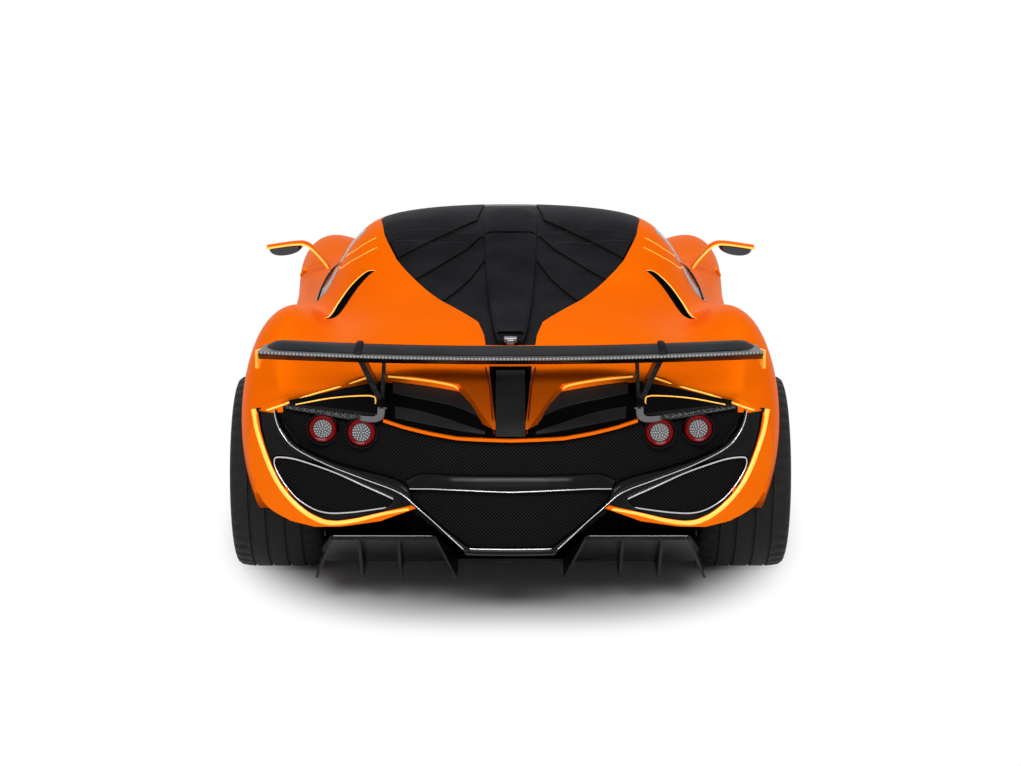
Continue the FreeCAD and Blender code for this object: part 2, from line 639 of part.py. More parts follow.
def floor_and_tub():
    parts = [plan_prism(two_sided(FLOOR_PLAN), FLOOR_Z, FLOOR_TOP_Z)]
    for x, y in JACK_PLACES:
        pad = rod(point(x, y, JACK_PAD_Z), point(x, y, 136), JACK_PAD_R)
        parts += [pad, mirrored(pad)]
    keep("underfloor", joined(parts))
    sill = side_prism([(865, 150), (865, 300), (640, 330), (-380, 330), (-455, 360), (-455, 150)], 600, 765)
    toe_board = [(880, 150), (920, 150), (960, 560), (960, 740), (935, 740), (935, 560)]
    rear_bulkhead = [(-700, 150), (700, 150), (700, 760), (600, 900), (-600, 900), (-700, 760)]
    parts = [plan_prism(two_sided(TUB_PLAN), FLOOR_TOP_Z, TUB_FLOOR_Z), sill, mirrored(sill)]
    parts.append(side_prism(toe_board, -560, 560))
    parts.append(end_prism(rear_bulkhead, -457, -435))
    wall = side_prism([(900, 150), (1795, 150), (1795, 420), (1600, 515), (1120, 515), (940, 480)],
                      TUB_WALL_Y - 15, TUB_WALL_Y)
    parts += [wall, mirrored(wall)]
    parts.append(side_prism([(1780, 150), (1798, 150), (1798, 420), (1780, 420)], -390, 390))
    for side in (1, -1):
        parts.append(box(-450, -1650, side * ENGINE_RAIL_Y, side * ENGINE_RAIL_OUTER_Y, 200, 290))
    parts.append(box(-1620, -1645, -380, 380, 205, 285))
    keep("tub", joined(parts))
    skirt = BODY.common(box(REAR_AXLE_X + 200, FRONT_AXLE_X - 200, 0, 1300, FLOOR_Z, SILL_Z))
    keep("side_skirts", both(largest(skirt)))


# Engine, seats, dashboard and steering wheel
COLUMN_TILT = math.radians(22)
WHEEL_HUB = (455, 300, 700)


def interior():
    engine = side_prism([(-560, 200), (-560, 620), (-700, 800), (-1050, 800), (-1180, 560), (-1560, 480),
                         (-1560, 200)], RUN - ENGINE_RAIL_Y, ENGINE_RAIL_Y - RUN)
    keep("engine", engine)
    seat = side_prism([(360, 162), (375, 300), (330, 335), (-20, 270), (-60, 300), (-330, 820), (-385, 835),
                       (-410, 800), (-200, 162)], 60, 540)
    keep("seats", both(seat))
    dash = side_prism([(915, 480), (915, 720), (800, 800), (640, 810), (560, 760), (590, 690), (700, 600),
                       (760, 480)], -590, 590)
    direction = V(math.cos(COLUMN_TILT), 0, -math.sin(COLUMN_TILT))
    hub = point(*WHEEL_HUB)
    start = hub.add(direction * 20)
    column = rod(start, hub.add(direction * 230), 16)
    bore = rod(start, hub.add(direction * (230 + RUN)), 16 + RUN)
    keep("dashboard", largest(dash.cut(bore)))
    ring = Part.makeTorus(170, 15, hub, direction)
    boss = rod(hub.sub(direction * 10), hub.add(direction * 30), 42)
    bars = []
    flat = V(math.sin(COLUMN_TILT), 0, math.cos(COLUMN_TILT))
    for angle in (0, 180, 270):
        turn = math.radians(angle)
        ray = V(0, 1, 0) * math.cos(turn) + flat * math.sin(turn)
        bars.append(rod(hub.add(ray * 30), hub.add(ray * 165), 9))
    keep("steering_wheel", joined([ring, boss, column] + bars))


# Tyre, rim with its brake disc, knuckle and caliper for one wheel on the left
ARM_T = 20


def tyre_shape(radius, width, y):
    half = width / 2
    side = [(RIM_R + 0.2, 18), (RIM_R + 14, 8), (radius - 45, 0), (radius - 16, 8), (radius - 4, 26),
            (radius, 60)]
    corners = [V(0, y - half + off, r) for r, off in side]
    corners += [V(0, y + half - off, r) for r, off in reversed(side)]
    return Part.Face(Part.makePolygon(corners + [corners[0]])).revolve(V(0, 0, 0), V(0, 1, 0), 360)


def rim_shape(width, y, spokes, dish):
    half = width / 2 - 14
    barrel = [(RIM_R, -half), (RIM_R, half), (RIM_R - 12, half), (RIM_R - 20, half - 30),
              (RIM_R - 20, -half + 10), (RIM_R - 10, -half)]
    corners = [V(0, y + off, r) for r, off in barrel]
    ring = Part.Face(Part.makePolygon(corners + [corners[0]])).revolve(V(0, 0, 0), V(0, 1, 0), 360)
    face_y = y + half - dish
    hub = Part.makeCylinder(62, 46, V(0, face_y - 46, 0), V(0, 1, 0))
    bar = [V(-15, 0, 50), V(15, 0, 50), V(24, 0, RIM_R - 10), V(-24, 0, RIM_R - 10)]
    arm = Part.Face(Part.makePolygon(bar + [bar[0]])).extrude(V(0, -24, 0))
    arm.translate(V(0, face_y + 2, 0))
    parts = [ring, hub]
    for number in range(spokes):
        one = arm.copy()
        one.rotate(V(0, 0, 0), V(0, 1, 0), 360.0 / spokes * number)
        parts.append(one)
    disc_y = y - 10
    disc = Part.makeCylinder(185, 30, V(0, disc_y - 15, 0), V(0, 1, 0))
    neck = Part.makeCylinder(58, face_y - disc_y, V(0, disc_y, 0), V(0, 1, 0))
    parts += [disc, neck]
    bore = Part.makeCylinder(28 + RUN / 2, 80, V(0, disc_y - 40, 0), V(0, 1, 0))
    return joined(parts).cut(bore), disc_y


def knuckle_shape(disc_y, kingpin_y):
    pin = Part.makeCylinder(28, 60, V(0, disc_y - 60, 0), V(0, 1, 0)).cut(
        Part.makeCylinder(40, 20, V(0, disc_y + 38, 0), V(0, 1, 0)))
    body = Part.makeBox(90, 34, 260, V(-45, disc_y - 60 - 20, -130))
    parts = [pin, body]
    outline = [V(-110, disc_y - 60, 60), V(-215, disc_y - 60, 60), V(-215, disc_y - 60, -60),
               V(-110, disc_y - 60, -60)]
    inner = Part.Face(Part.makePolygon(outline + [outline[0]])).extrude(V(0, 38, 0))
    arm = Part.makeBox(140, 24, 80, V(-170, disc_y - 70, -40))
    bridge = Part.makeBox(24, 95, 120, V(-217, disc_y - 60, -60))
    outer = Part.Face(Part.makePolygon(outline + [outline[0]])).extrude(V(0, 12, 0))
    outer.translate(V(0, 82, 0))
    parts += [inner, arm, bridge, outer]
    return joined(parts)


# Flat arm that narrows from its wide inner end to the knuckle
def wishbone(axle_x, inner_half, inner_y, outer_half, outer_y, z):
    corners = [V(axle_x - inner_half, inner_y, z), V(axle_x + inner_half, inner_y, z),
               V(axle_x + outer_half, outer_y, z), V(axle_x - outer_half, outer_y, z)]
    return prism(corners, V(0, 0, ARM_T))


def place(shape, x, z):
    moved = shape.copy()
    moved.translate(V(x, 0, z))
    return moved


def wheels():
    specs = [("front", FRONT_AXLE_X, FRONT_TYRE_R, FRONT_TYRE_W, FRONT_WHEEL_Y, 24),
             ("rear", REAR_AXLE_X, REAR_TYRE_R, REAR_TYRE_W, REAR_WHEEL_Y, 40)]
    knuckles = {}
    for name, x, radius, width, y, dish in specs:
        tyre = place(tyre_shape(radius, width, y), x, radius)
        rim, disc_y = rim_shape(width, y, 10, dish)
        rim = place(rim, x, radius)
        knuckle = place(knuckle_shape(disc_y, KINGPIN_Y), x, radius)
        for side, other in (("left", False), ("right", True)):
            keep("tyre_%s_%s" % (name, side), mirrored(tyre) if other else tyre)
            keep("rim_%s_%s" % (name, side), mirrored(rim) if other else rim)
        knuckles[name] = knuckle
    keep("knuckle_front_left", knuckles["front"])
    keep("knuckle_front_right", mirrored(knuckles["front"]))
    front = []
    disc_y = FRONT_WHEEL_Y - 10
    for z in (FRONT_TYRE_R + 140, FRONT_TYRE_R - 150):
        front.append(wishbone(FRONT_AXLE_X, 180, across(TUB_WALL_Y) + RUN, 25, disc_y - 70, z))
    keep("front_wishbones", Part.makeCompound(front + [mirrored(s) for s in front]))
    rear = [knuckles["rear"]]
    disc_y = REAR_WHEEL_Y - 10
    for z in (REAR_TYRE_R + 100, REAR_TYRE_R - 120):
        rear.append(wishbone(REAR_AXLE_X, 200, across(ENGINE_RAIL_OUTER_Y), 30, disc_y - 75, z))
    keep("rear_suspension", both(joined(rear)))


# Height of the body skin above a drawn place
def skin_top(x, y):
    line = Part.makeLine(point(x, y, 300), point(x, y, 1400))
    return max(v.Z for v in skin(0).common(line).Vertexes)


# Barrel hinge: two ears on the fixed panel hold the pin of the moving panel
BARREL_R = 8.0
PIN_R = 4.0


def barrel_hinge(fixed, moving, centre, direction, length):
    direction = V(direction).normalize()

    def piece(start, end, radius):
        return rod(centre.add(direction * start), centre.add(direction * end), radius)

    half = length / 2
    ear = length / 4
    low, high = -half + ear, half - ear
    hollow = BARREL_R + 2
    fixed = fixed.cut(piece(low - RUN, high + RUN, hollow))
    moving = moving.cut(piece(-half - 2, low + RUN, hollow)).cut(piece(high - RUN, half + 2, hollow))
    for start, end in ((-half, low - RUN), (high + RUN, half)):
        fixed = fixed.fuse(piece(start, end, BARREL_R).cut(moving))
    fixed = fixed.cut(piece(-half - 1, half + 1, PIN_R + 0.05))
    moving = moving.fuse(piece(low, high, BARREL_R)).fuse(piece(-half, half, PIN_R))
    return fixed.removeSplitter(), moving.removeSplitter()


def lid_hinges():
    cowl, bonnet = NODES["cowl_panel"], NODES["bonnet"]
    z = skin_top(COWL_X + GAP / 2, 0)
    for y in (-150, 150):
        cowl, bonnet = barrel_hinge(cowl, bonnet, V(along(COWL_X + GAP / 2), across(y), z), V(0, 1, 0), 60)
    keep("cowl_panel", largest(cowl))
    keep("bonnet", largest(bonnet))
    roof, cover = NODES["roof_panel"], NODES["engine_cover"]
    z = skin_top(COVER_X - GAP / 2, 0)
    for y in (-50, 50):
        roof, cover = barrel_hinge(roof, cover, V(along(COVER_X - GAP / 2), across(y), z), V(0, 1, 0), 60)
    keep("roof_panel", main_pieces(roof))
    keep("engine_cover", main_pieces(cover))


DOOR_PIVOT = (610, 890, 800)
DOOR_BARREL_AT = 94.0
DOOR_AXIS = V(0.733, 0.345, -0.586)


def door_hinges():
    axis = V(DOOR_AXIS).normalize()
    centre = point(*DOOR_PIVOT).add(axis * DOOR_BARREL_AT)
    fender, door = barrel_hinge(NODES["fender_left"], NODES["door_left"], centre, axis, 60)
    fender = largest(fender)
    door = largest(door)
    for side, shape in (("fender", fender), ("door", door)):
        keep(side + "_left", shape)
        keep(side + "_right", mirrored(shape))


# Like pieces of one body that don't touch, kept in one node
def share_node(name, *members):
    solids = []
    for member in members:
        solids += NODES.pop(member).Solids
    keep(name, Part.makeCompound(solids))


front_end()
bonnet_and_fenders()
greenhouse()
doors()
lid_hinges()
door_hinges()
tail_parts(rear_body())
floor_and_tub()
interior()
wheels()
share_node("fenders", "fender_left", "fender_right")
share_node("roof_rails", "roof_rail_left", "roof_rail_right")
share_node("rear_quarters", "rear_quarter_left", "rear_quarter_right")
share_node("suspension_arms", "front_wishbones", "rear_suspension")

for name in sorted(NODES):
    NODES[name].exportStep("parts/%s.step" % name)
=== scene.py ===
import bpy
import bmesh
import math
from mathutils import Matrix, Vector
from mathutils.bvhtree import BVHTree

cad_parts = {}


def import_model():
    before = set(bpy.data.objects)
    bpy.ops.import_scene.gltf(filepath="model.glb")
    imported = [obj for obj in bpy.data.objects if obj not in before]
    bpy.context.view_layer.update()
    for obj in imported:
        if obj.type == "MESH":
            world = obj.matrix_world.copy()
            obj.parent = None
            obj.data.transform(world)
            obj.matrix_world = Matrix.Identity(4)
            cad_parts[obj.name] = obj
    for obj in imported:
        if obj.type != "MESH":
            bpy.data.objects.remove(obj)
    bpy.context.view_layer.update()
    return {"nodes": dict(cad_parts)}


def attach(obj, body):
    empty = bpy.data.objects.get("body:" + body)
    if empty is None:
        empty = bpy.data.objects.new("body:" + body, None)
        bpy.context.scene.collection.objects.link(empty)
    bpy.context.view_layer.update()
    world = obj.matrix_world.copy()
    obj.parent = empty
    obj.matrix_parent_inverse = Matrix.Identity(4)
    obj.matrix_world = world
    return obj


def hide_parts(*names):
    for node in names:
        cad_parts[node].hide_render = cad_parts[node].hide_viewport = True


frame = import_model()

NODES = frame["nodes"]

# Camera fitted to the photograph: image width and focal length in pixels, place in metres, tilt in radians
IMAGE_W = 1021
FOCAL_PX = 2573.4
CAMERA_PLACE = (-10.616, 0.0, 2.780)
CAMERA_TILT = 0.22129
SENSOR_MM = 36.0

# The car's nose points along x and its left side along y; all sizes are metres
UP = Vector((0, 0, 1))
DOWN = Vector((0, 0, -1))
BACK = Vector((-1, 0, 0))
SIDES = ((1, "left"), (-1, "right"))
FRONT_AXLE = Vector((1.360, 0.0, 0.340))
REAR_AXLE = Vector((-1.320, 0.0, 0.355))


# Gives an input a value, or links it where the value is a socket
def fill(socket, value):
    if isinstance(value, bpy.types.NodeSocket):
        socket.id_data.links.new(value, socket)
    else:
        socket.default_value = value


# Fills a node's inputs by name, with underscores for spaces
def feed(node, **inputs):
    for name, value in inputs.items():
        fill(node.inputs[name.replace("_", " ")], value)


# New node, with its first inputs filled in order and others by name
def add_node(tree, kind, *first, **named):
    node = tree.nodes.new(kind)
    for socket, value in zip(node.inputs, first):
        fill(socket, value)
    feed(node, **named)
    return node


def maths(tree, operation, *values):
    node = add_node(tree, "ShaderNodeMath", *values)
    node.operation = operation
    return node.outputs["Value"]


# New material with its shader and the object's own coordinates times a scale
def new_material(name, scale=(1, 1, 1)):
    mat = bpy.data.materials.new(name)
    mat.use_nodes = True
    tree = mat.node_tree
    place = add_node(tree, "ShaderNodeTexCoord").outputs["Object"]
    where = add_node(tree, "ShaderNodeMapping", Vector=place, Scale=scale).outputs["Vector"]
    return mat, tree.nodes["Principled BSDF"], where


def noise(where, scale, detail=3.0):
    node = add_node(where.id_data, "ShaderNodeTexNoise", Vector=where, Scale=scale, Detail=detail)
    return node.outputs["Fac"]


# Colour that goes from one tone to another as a value rises between two marks
def ramp(value, low, high, low_at=0.35, high_at=0.65):
    node = add_node(value.id_data, "ShaderNodeValToRGB", Fac=value)
    for element, at, tone in zip(node.color_ramp.elements, (low_at, high_at), (low, high)):
        element.position = at
        element.color = (*tone, 1)
    return node.outputs["Color"]


# Value from nought to one, spread between two others
def span(value, low, high):
    node = add_node(value.id_data, "ShaderNodeMapRange", Value=value, To_Min=low, To_Max=high)
    return node.outputs["Result"]


def bump(shader, height, strength, distance):
    node = add_node(shader.id_data, "ShaderNodeBump", Height=height, Strength=strength, Distance=distance)
    feed(shader, Normal=node.outputs["Normal"])


# Coordinates turned by an eighth of a circle
def turned(where, axis):
    node = add_node(where.id_data, "ShaderNodeVectorRotate", Vector=where, Axis=axis, Angle=math.radians(45))
    return node.outputs["Vector"]


def checker(where, first, second):
    return add_node(where.id_data, "ShaderNodeTexChecker", Vector=where, Scale=1.0, Color1=(*first, 1),
                    Color2=(*second, 1))


def scaled(tone, share):
    return tuple(c * share for c in tone)


# Material whose colour wanders between two tones; each noise is a scale and a detail, and the roughness
# follows the grain, or else the same noise as the colour
def mottled(name, tones, cloud, rough, grain=None, relief=None, **inputs):
    mat, shader, where = new_material(name)
    feed(shader, Base_Color=ramp(noise(where, *cloud), *tones),
         Roughness=span(noise(where, *(grain or cloud)), *rough), **inputs)
    if relief:
        texture, strength, distance = relief
        bump(shader, noise(where, *texture), strength, distance)
    return mat


# Metallic orange paint with fine flake and faint orange peel
def paint_material():
    return mottled("orange_paint", ((0.96, 0.155, 0.003), (1.0, 0.175, 0.004)), (2.2, 3.0), (0.24, 0.36),
                   (1400.0, 1.0), ((260.0, 1.0), 0.04, 0.0006), Metallic=0.55, Specular_IOR_Level=0.0,
                   Specular_Tint=(1.0, 0.54, 0.33, 1))


# Yellow-orange paint of the edges that catch the light, glowing by itself: a painted highlight
def edge_highlight_material():
    return mottled("painted_edge_highlight", ((1.0, 0.36, 0.02), (1.0, 0.45, 0.05)), (8.0, 3.0), (0.18, 0.3),
                   (300.0, 3.0), Metallic=0.2, Coat_Weight=0.4, Coat_Roughness=0.1,
                   Emission_Color=(1.0, 0.50, 0.07, 1), Emission_Strength=0.80)


# Plastic or paint with a fine stipple
def satin_material(name, tone, rough_low, rough_high, shine, metal=0.0):
    stipple = (500.0, 2.0)
    return mottled(name, (scaled(tone, 0.8), scaled(tone, 1.2)), (6.0, 3.0), (rough_low, rough_high), stipple,
                   (stipple, 0.15, 0.0003), Metallic=metal, Specular_IOR_Level=shine,
                   Specular_Tint=(0.45, 0.45, 0.46, 1))


# Glass as a thin tint that lets some light through
def glass_material(name, tint, alpha, coat):
    return mottled(name, (tint, scaled(tint, 1.3)), (4.0, 3.0), (0.02, 0.05), IOR=1.45, Coat_Weight=coat,
                   Coat_Roughness=0.02, Specular_IOR_Level=0.25, Alpha=alpha)


# Rubber with dust and faint moulding marks
def rubber_material():
    return mottled("tyre_rubber", ((0.006, 0.006, 0.006), (0.013, 0.0125, 0.012)), (30.0, 5.0), (0.55, 0.8),
                   relief=((700.0, 2.0), 0.2, 0.0004), Specular_IOR_Level=0.25)


# Bare or brushed metal
def metal_material(name, tone, rough_low, rough_high):
    return mottled(name, (scaled(tone, 0.85), tone), (180.0, 4.0), (rough_low, rough_high), Metallic=1.0)


# Colours that glow a little by themselves: the lamps, and the wing's end plates, whose glow is a painted
# highlight
def glow_material(name, tone, strength):
    return mottled(name, (scaled(tone, 0.7), tone), (400.0, 1.0), (0.15, 0.25), Emission_Color=(*tone, 1),
                   Emission_Strength=strength, Coat_Weight=0.03, Coat_Roughness=0.05, Specular_IOR_Level=0.1)


# Woven carbon under thin lacquer: a fine checker turned in space
def carbon_material(name, pitch=0.011, coat=0.06, light=0.013):
    mat, shader, where = new_material(name, (1 / pitch,) * 3)
    weave = checker(turned(where, (0.3, 0.5, 0.8)), (light, light, light * 1.05), (0.003,) * 3)
    feed(shader, Base_Color=weave.outputs["Color"], Roughness=span(noise(where, 3.0, 4.0), 0.22, 0.42),
         Coat_Weight=coat, Coat_Roughness=0.1, Specular_IOR_Level=0.1)
    bump(shader, weave.outputs["Fac"], 0.25, 0.0006)
    return mat


# Woven edge along the wing: the weave pattern is its own, its bright grey dashes are painted glints
def dash_glint_material(name, pitch=0.006):
    mat, shader, where = new_material(name)
    along = add_node(mat.node_tree, "ShaderNodeMapping", Vector=where, Scale=(0, 1 / pitch, 0))
    dashes = checker(along.outputs["Vector"], (0.30, 0.31, 0.32), (0.07,) * 3)
    feed(shader, Base_Color=dashes.outputs["Color"], Roughness=span(noise(where, 200.0), 0.3, 0.5))
    bump(shader, dashes.outputs["Fac"], 0.2, 0.0006)
    return mat


# Fine mesh sheet: thin wires in a diagonal grid around dark holes
def mesh_material(name, pitch=0.009):
    mat, shader, where = new_material(name, (0, 1 / pitch, 1 / pitch))
    cell = add_node(mat.node_tree, "ShaderNodeTexVoronoi", Vector=turned(where, (1, 0, 0)), Scale=1.0,
                    Randomness=0.0)
    cell.feature = "DISTANCE_TO_EDGE"
    inside = cell.outputs["Distance"]
    feed(shader, Base_Color=ramp(inside, (0.016, 0.016, 0.017), (0.0005,) * 3, 0.12, 0.24),
         Roughness=span(inside, 0.4, 0.8), Specular_IOR_Level=0.0)
    bump(shader, inside, -0.6, 0.002)
    return mat


# Leather with pores
def leather_material(name, tone):
    mat, shader, where = new_material(name)
    pores = add_node(mat.node_tree, "ShaderNodeTexVoronoi", Vector=where, Scale=420.0).outputs["Distance"]
    feed(shader, Base_Color=ramp(noise(where, 12.0), scaled(tone, 0.7), tone),
         Roughness=span(pores, 0.42, 0.62))
    bump(shader, pores, 0.35, 0.0006)
    return mat


PAINT = paint_material()
# Painted highlight: glowing paint for the lit edges
EDGE_HIGHLIGHT = edge_highlight_material()
BLACK = satin_material("black_satin", (0.016, 0.016, 0.017), 0.34, 0.46, 0.0, 0.7)
GLOSS_BLACK = satin_material("black_gloss", (0.002, 0.002, 0.002), 0.16, 0.24, 0.25)
DEEP_BLACK = satin_material("black_recess", (0.003, 0.003, 0.003), 0.6, 0.8, 0.0)
SHUT_LINE = satin_material("shut_line", (0.045, 0.045, 0.047), 0.5, 0.6, 0.0)
TRIM = satin_material("trim_plastic", (0.010, 0.010, 0.011), 0.55, 0.75, 0.05)
VENT_BLACK = satin_material("vent_black", (0.022, 0.022, 0.023), 0.40, 0.52, 0.15, 0.3)
FLAP_BLACK = satin_material("flap_black", (0.030, 0.032, 0.034), 0.30, 0.40, 0.0, 0.6)
CARBON = carbon_material("carbon_weave")
MESH = mesh_material("fine_mesh")
GRILLE = mesh_material("grille_mesh", 0.016)
GLASS = glass_material("tinted_glass", (0.02, 0.025, 0.03), 0.55, 0.15)
LENS = glass_material("lamp_glass", (0.30, 0.30, 0.31), 0.08, 0.1)
MIRROR = metal_material("mirror_glass", (0.07, 0.07, 0.075), 0.04, 0.08)
RUBBER = rubber_material()
LEATHER = leather_material("seat_leather", (0.05, 0.05, 0.055))
RIM = metal_material("rim_dark_metal", (0.10, 0.10, 0.11), 0.25, 0.4)
STEEL = metal_material("machined_steel", (0.45, 0.45, 0.47), 0.25, 0.45)
SILVER = metal_material("silver_trim", (0.62, 0.62, 0.64), 0.15, 0.3)
CAST = metal_material("cast_metal", (0.20, 0.20, 0.21), 0.45, 0.7)
RED = glow_material("lamp_red", (0.22, 0.001, 0.002), 0.10)
# Painted shade: dark red for the shaded side of the fin edges
EDGE_SHADE = satin_material("edge_shade", (0.16, 0.014, 0.003), 0.3, 0.4, 0.1)
SHELF_CARBON = carbon_material("shelf_weave", 0.008, 0.3, 0.10)
WHITE = glow_material("lamp_white", (0.55, 0.55, 0.57), 0.1)
LAMP_GREY = satin_material("lamp_grey", (0.12, 0.12, 0.125), 0.3, 0.5, 0.05)
BEAD = glow_material("lamp_bead", (0.10, 0.0, 0.0), 0.0)
PIPING = leather_material("bolster_leather", (0.22, 0.045, 0.008))
DAYLIGHT = glow_material("day_light", (0.9, 0.92, 1.0), 0.6)
SMOKE = metal_material("smoked_metal", (0.16, 0.16, 0.17), 0.15, 0.3)
EDGE_WEAVE_GLINTS = dash_glint_material("edge_weave_glints")
# Orange end plates with a glow of painted highlight
END_PLATE_GLOW = glow_material("end_plate_orange_glow", (1.0, 0.42, 0.05), 0.4)

# Finish of each CAD node
NODE_FINISHES = [
    (PAINT, "bonnet fenders front_bumper door_left door_right rear_quarters rear_bumper roof_rails tail_lip"),
    (BLACK, "roof_panel engine_cover lamp_shelves"),
    (DEEP_BLACK, "vent_panel"),
    (TRIM, "cowl_panel dashboard steering_wheel tub suspension_arms"),
    (CARBON, "diffuser front_splitter mirror_left mirror_right rear_arms rear_wing wing_struts side_skirts "
             "underfloor"),
    (MESH, "rear_fascia"),
    (GRILLE, "front_grilles"),
    (GLASS, "door_glass_left door_glass_right windscreen"),
    (LENS, "headlamps"),
    (RED, "tail_lamps"),
    (LEATHER, "seats"),
    (CAST, "engine"),
    (STEEL, "knuckle_front_left knuckle_front_right tow_eye_socket"),
    (RUBBER, "tyre_front_left tyre_front_right tyre_rear_left tyre_rear_right"),
    (RIM, "rim_front_left rim_front_right rim_rear_left rim_rear_right"),
]


def dress_nodes():
    for mat, names in NODE_FINISHES:
        for name in names.split():
            slots = NODES[name].material_slots
            if not slots:
                raise RuntimeError("no slot on " + name)
            for holder in slots:
                holder.link = "OBJECT"
                holder.material = mat


# One where a camera, mirror or glass ray looks, nought for plain light
def shows_background(tree):
    rays = add_node(tree, "ShaderNodeLightPath").outputs
    seen = maths(tree, "MAXIMUM", rays["Is Camera Ray"], rays["Is Glossy Ray"])
    return maths(tree, "MAXIMUM", seen, rays["Is Transmission Ray"])


# Edge of the shadow's floor: half sizes, where the fade starts and ends as shares of them, and roundness
SHADOW_HALVES = (("X", 2.05), ("Y", 1.08))
FADE_START = 0.85
FADE_END = 1.10
FADE_POWER = 3.0


# Nought inside a rounded rectangle on the floor, rising to one outside it
def rounded_distance(tree):
    place = add_node(tree, "ShaderNodeNewGeometry").outputs["Position"]
    split = add_node(tree, "ShaderNodeSeparateXYZ", place)
    powers = []
    for axis, half in SHADOW_HALVES:
        size = maths(tree, "ABSOLUTE", maths(tree, "DIVIDE", split.outputs[axis], half))
        powers.append(maths(tree, "POWER", size, FADE_POWER))
    fade = add_node(tree, "ShaderNodeMapRange", Value=maths(tree, "ADD", *powers),
                    From_Min=FADE_START ** FADE_POWER, From_Max=FADE_END ** FADE_POWER)
    fade.interpolation_type = "SMOOTHSTEP"
    return fade.outputs["Result"]


# Pale floor that keeps the shadow near the object and fades into the white background
def backdrop():
    mat = bpy.data.materials.new("studio_floor")
    mat.use_nodes = True
    tree = mat.node_tree
    shader = tree.nodes["Principled BSDF"]
    feed(shader, Base_Color=(0.60, 0.60, 0.60, 1), Roughness=0.9)
    white = add_node(tree, "ShaderNodeEmission", Color=(1, 1, 1, 1), Strength=1.0)
    share = maths(tree, "MULTIPLY", rounded_distance(tree), shows_background(tree))
    mix = add_node(tree, "ShaderNodeMixShader", share, shader.outputs["BSDF"], white.outputs["Emission"])
    feed(tree.nodes["Material Output"], Surface=mix.outputs["Shader"])
    mesh = bpy.data.meshes.new("studio_floor")
    size = 60.0
    corners = [(-size, -size, 0), (size, -size, 0), (size, size, 0), (-size, size, 0)]
    mesh.from_pydata(corners, [], [(0, 1, 2, 3)])
    mesh.materials.append(mat)
    floor = bpy.data.objects.new("studio_floor", mesh)
    bpy.context.scene.collection.objects.link(floor)


# World that is white to the camera and dimmer as a light
def world():
    studio = bpy.data.worlds.new("studio")
    bpy.context.scene.world = studio
    studio.use_nodes = True
    tree = studio.node_tree
    dim = tree.nodes["Background"]
    feed(dim, Color=(1, 1, 1, 1), Strength=0.30)
    bright = add_node(tree, "ShaderNodeBackground", Color=(1, 1, 1, 1), Strength=1.0)
    mix = add_node(tree, "ShaderNodeMixShader", shows_background(tree), dim.outputs["Background"],
                   bright.outputs["Background"])
    feed(tree.nodes["World Output"], Surface=mix.outputs["Shader"])


# Soft boxes: place, target, size and watts
SOFT_BOXES = {
    "ceiling": ((0.3, 0, 5.5), (0, 0, 0), (6.0, 4.0), 100),
    "left_box": ((-1.0, 6.0, 3.2), (-0.5, 0, 0.6), (5.0, 1.8), 16),
    "right_box": ((-1.0, -6.0, 3.2), (-0.5, 0, 0.6), (5.0, 1.8), 16),
    "rear_box": ((-12.0, 0, 2.2), (-2.0, 0, 0.7), (7.0, 2.0), 60),
    "tail_box": ((-7.6, 0, 4.2), (-2.1, 0, 0.8), (5.0, 1.2), 280),
}


def lights():
    for name, (place, target, size, energy) in SOFT_BOXES.items():
        data = bpy.data.lights.new(name, "AREA")
        data.shape = "RECTANGLE"
        data.size, data.size_y = size
        data.energy = energy
        lamp = bpy.data.objects.new(name, data)
        lamp.location = place
        lamp.rotation_euler = (Vector(target) - Vector(place)).to_track_quat("-Z", "Y").to_euler()
        bpy.context.scene.collection.objects.link(lamp)


def camera():
    data = bpy.data.cameras.new("photo_camera")
    data.sensor_width = SENSOR_MM
    data.lens = FOCAL_PX / IMAGE_W * SENSOR_MM
    data.clip_end = 200
    eye = bpy.data.objects.new("photo_camera", data)
    eye.location = CAMERA_PLACE
    eye.rotation_euler = (math.pi / 2 - CAMERA_TILT, 0, -math.pi / 2)
    bpy.context.scene.collection.objects.link(eye)
    bpy.context.scene.camera = eye
    bpy.context.scene.view_settings.view_transform = "Standard"


# Plan line of the tail wall: across and along
TAIL_PLAN = [(0, -2.260), (0.110, -2.255), (0.205, -2.240), (0.305, -2.215), (0.424, -2.165), (0.540, -2.125),
             (0.640, -2.085), (0.740, -2.045), (0.830, -1.995), (0.950, -1.915)]

# Lines of the tail on its left side: across and up
GLOW_LINE = [(0.888, 0.740), (0.884, 0.714), (0.876, 0.668), (0.858, 0.610), (0.831, 0.541), (0.795, 0.478),
             (0.748, 0.428), (0.698, 0.392), (0.645, 0.372), (0.596, 0.372), (0.525, 0.390), (0.438, 0.420),
             (0.345, 0.448)]
SILVER_LINE = [(0.812, 0.748), (0.808, 0.720), (0.795, 0.683), (0.766, 0.643), (0.735, 0.621), (0.691, 0.600),
               (0.612, 0.571), (0.542, 0.551), (0.473, 0.531), (0.404, 0.512), (0.362, 0.494), (0.326, 0.466),
               (0.265, 0.417), (0.215, 0.372), (0.160, 0.322)]
ARM_LINE = [(0.803, 0.748), (0.796, 0.720), (0.778, 0.680), (0.740, 0.645), (0.700, 0.622), (0.612, 0.592),
            (0.540, 0.577), (0.472, 0.564), (0.403, 0.551), (0.358, 0.534), (0.339, 0.512), (0.330, 0.482),
            (0.285, 0.445), (0.235, 0.400), (0.128, 0.322)]
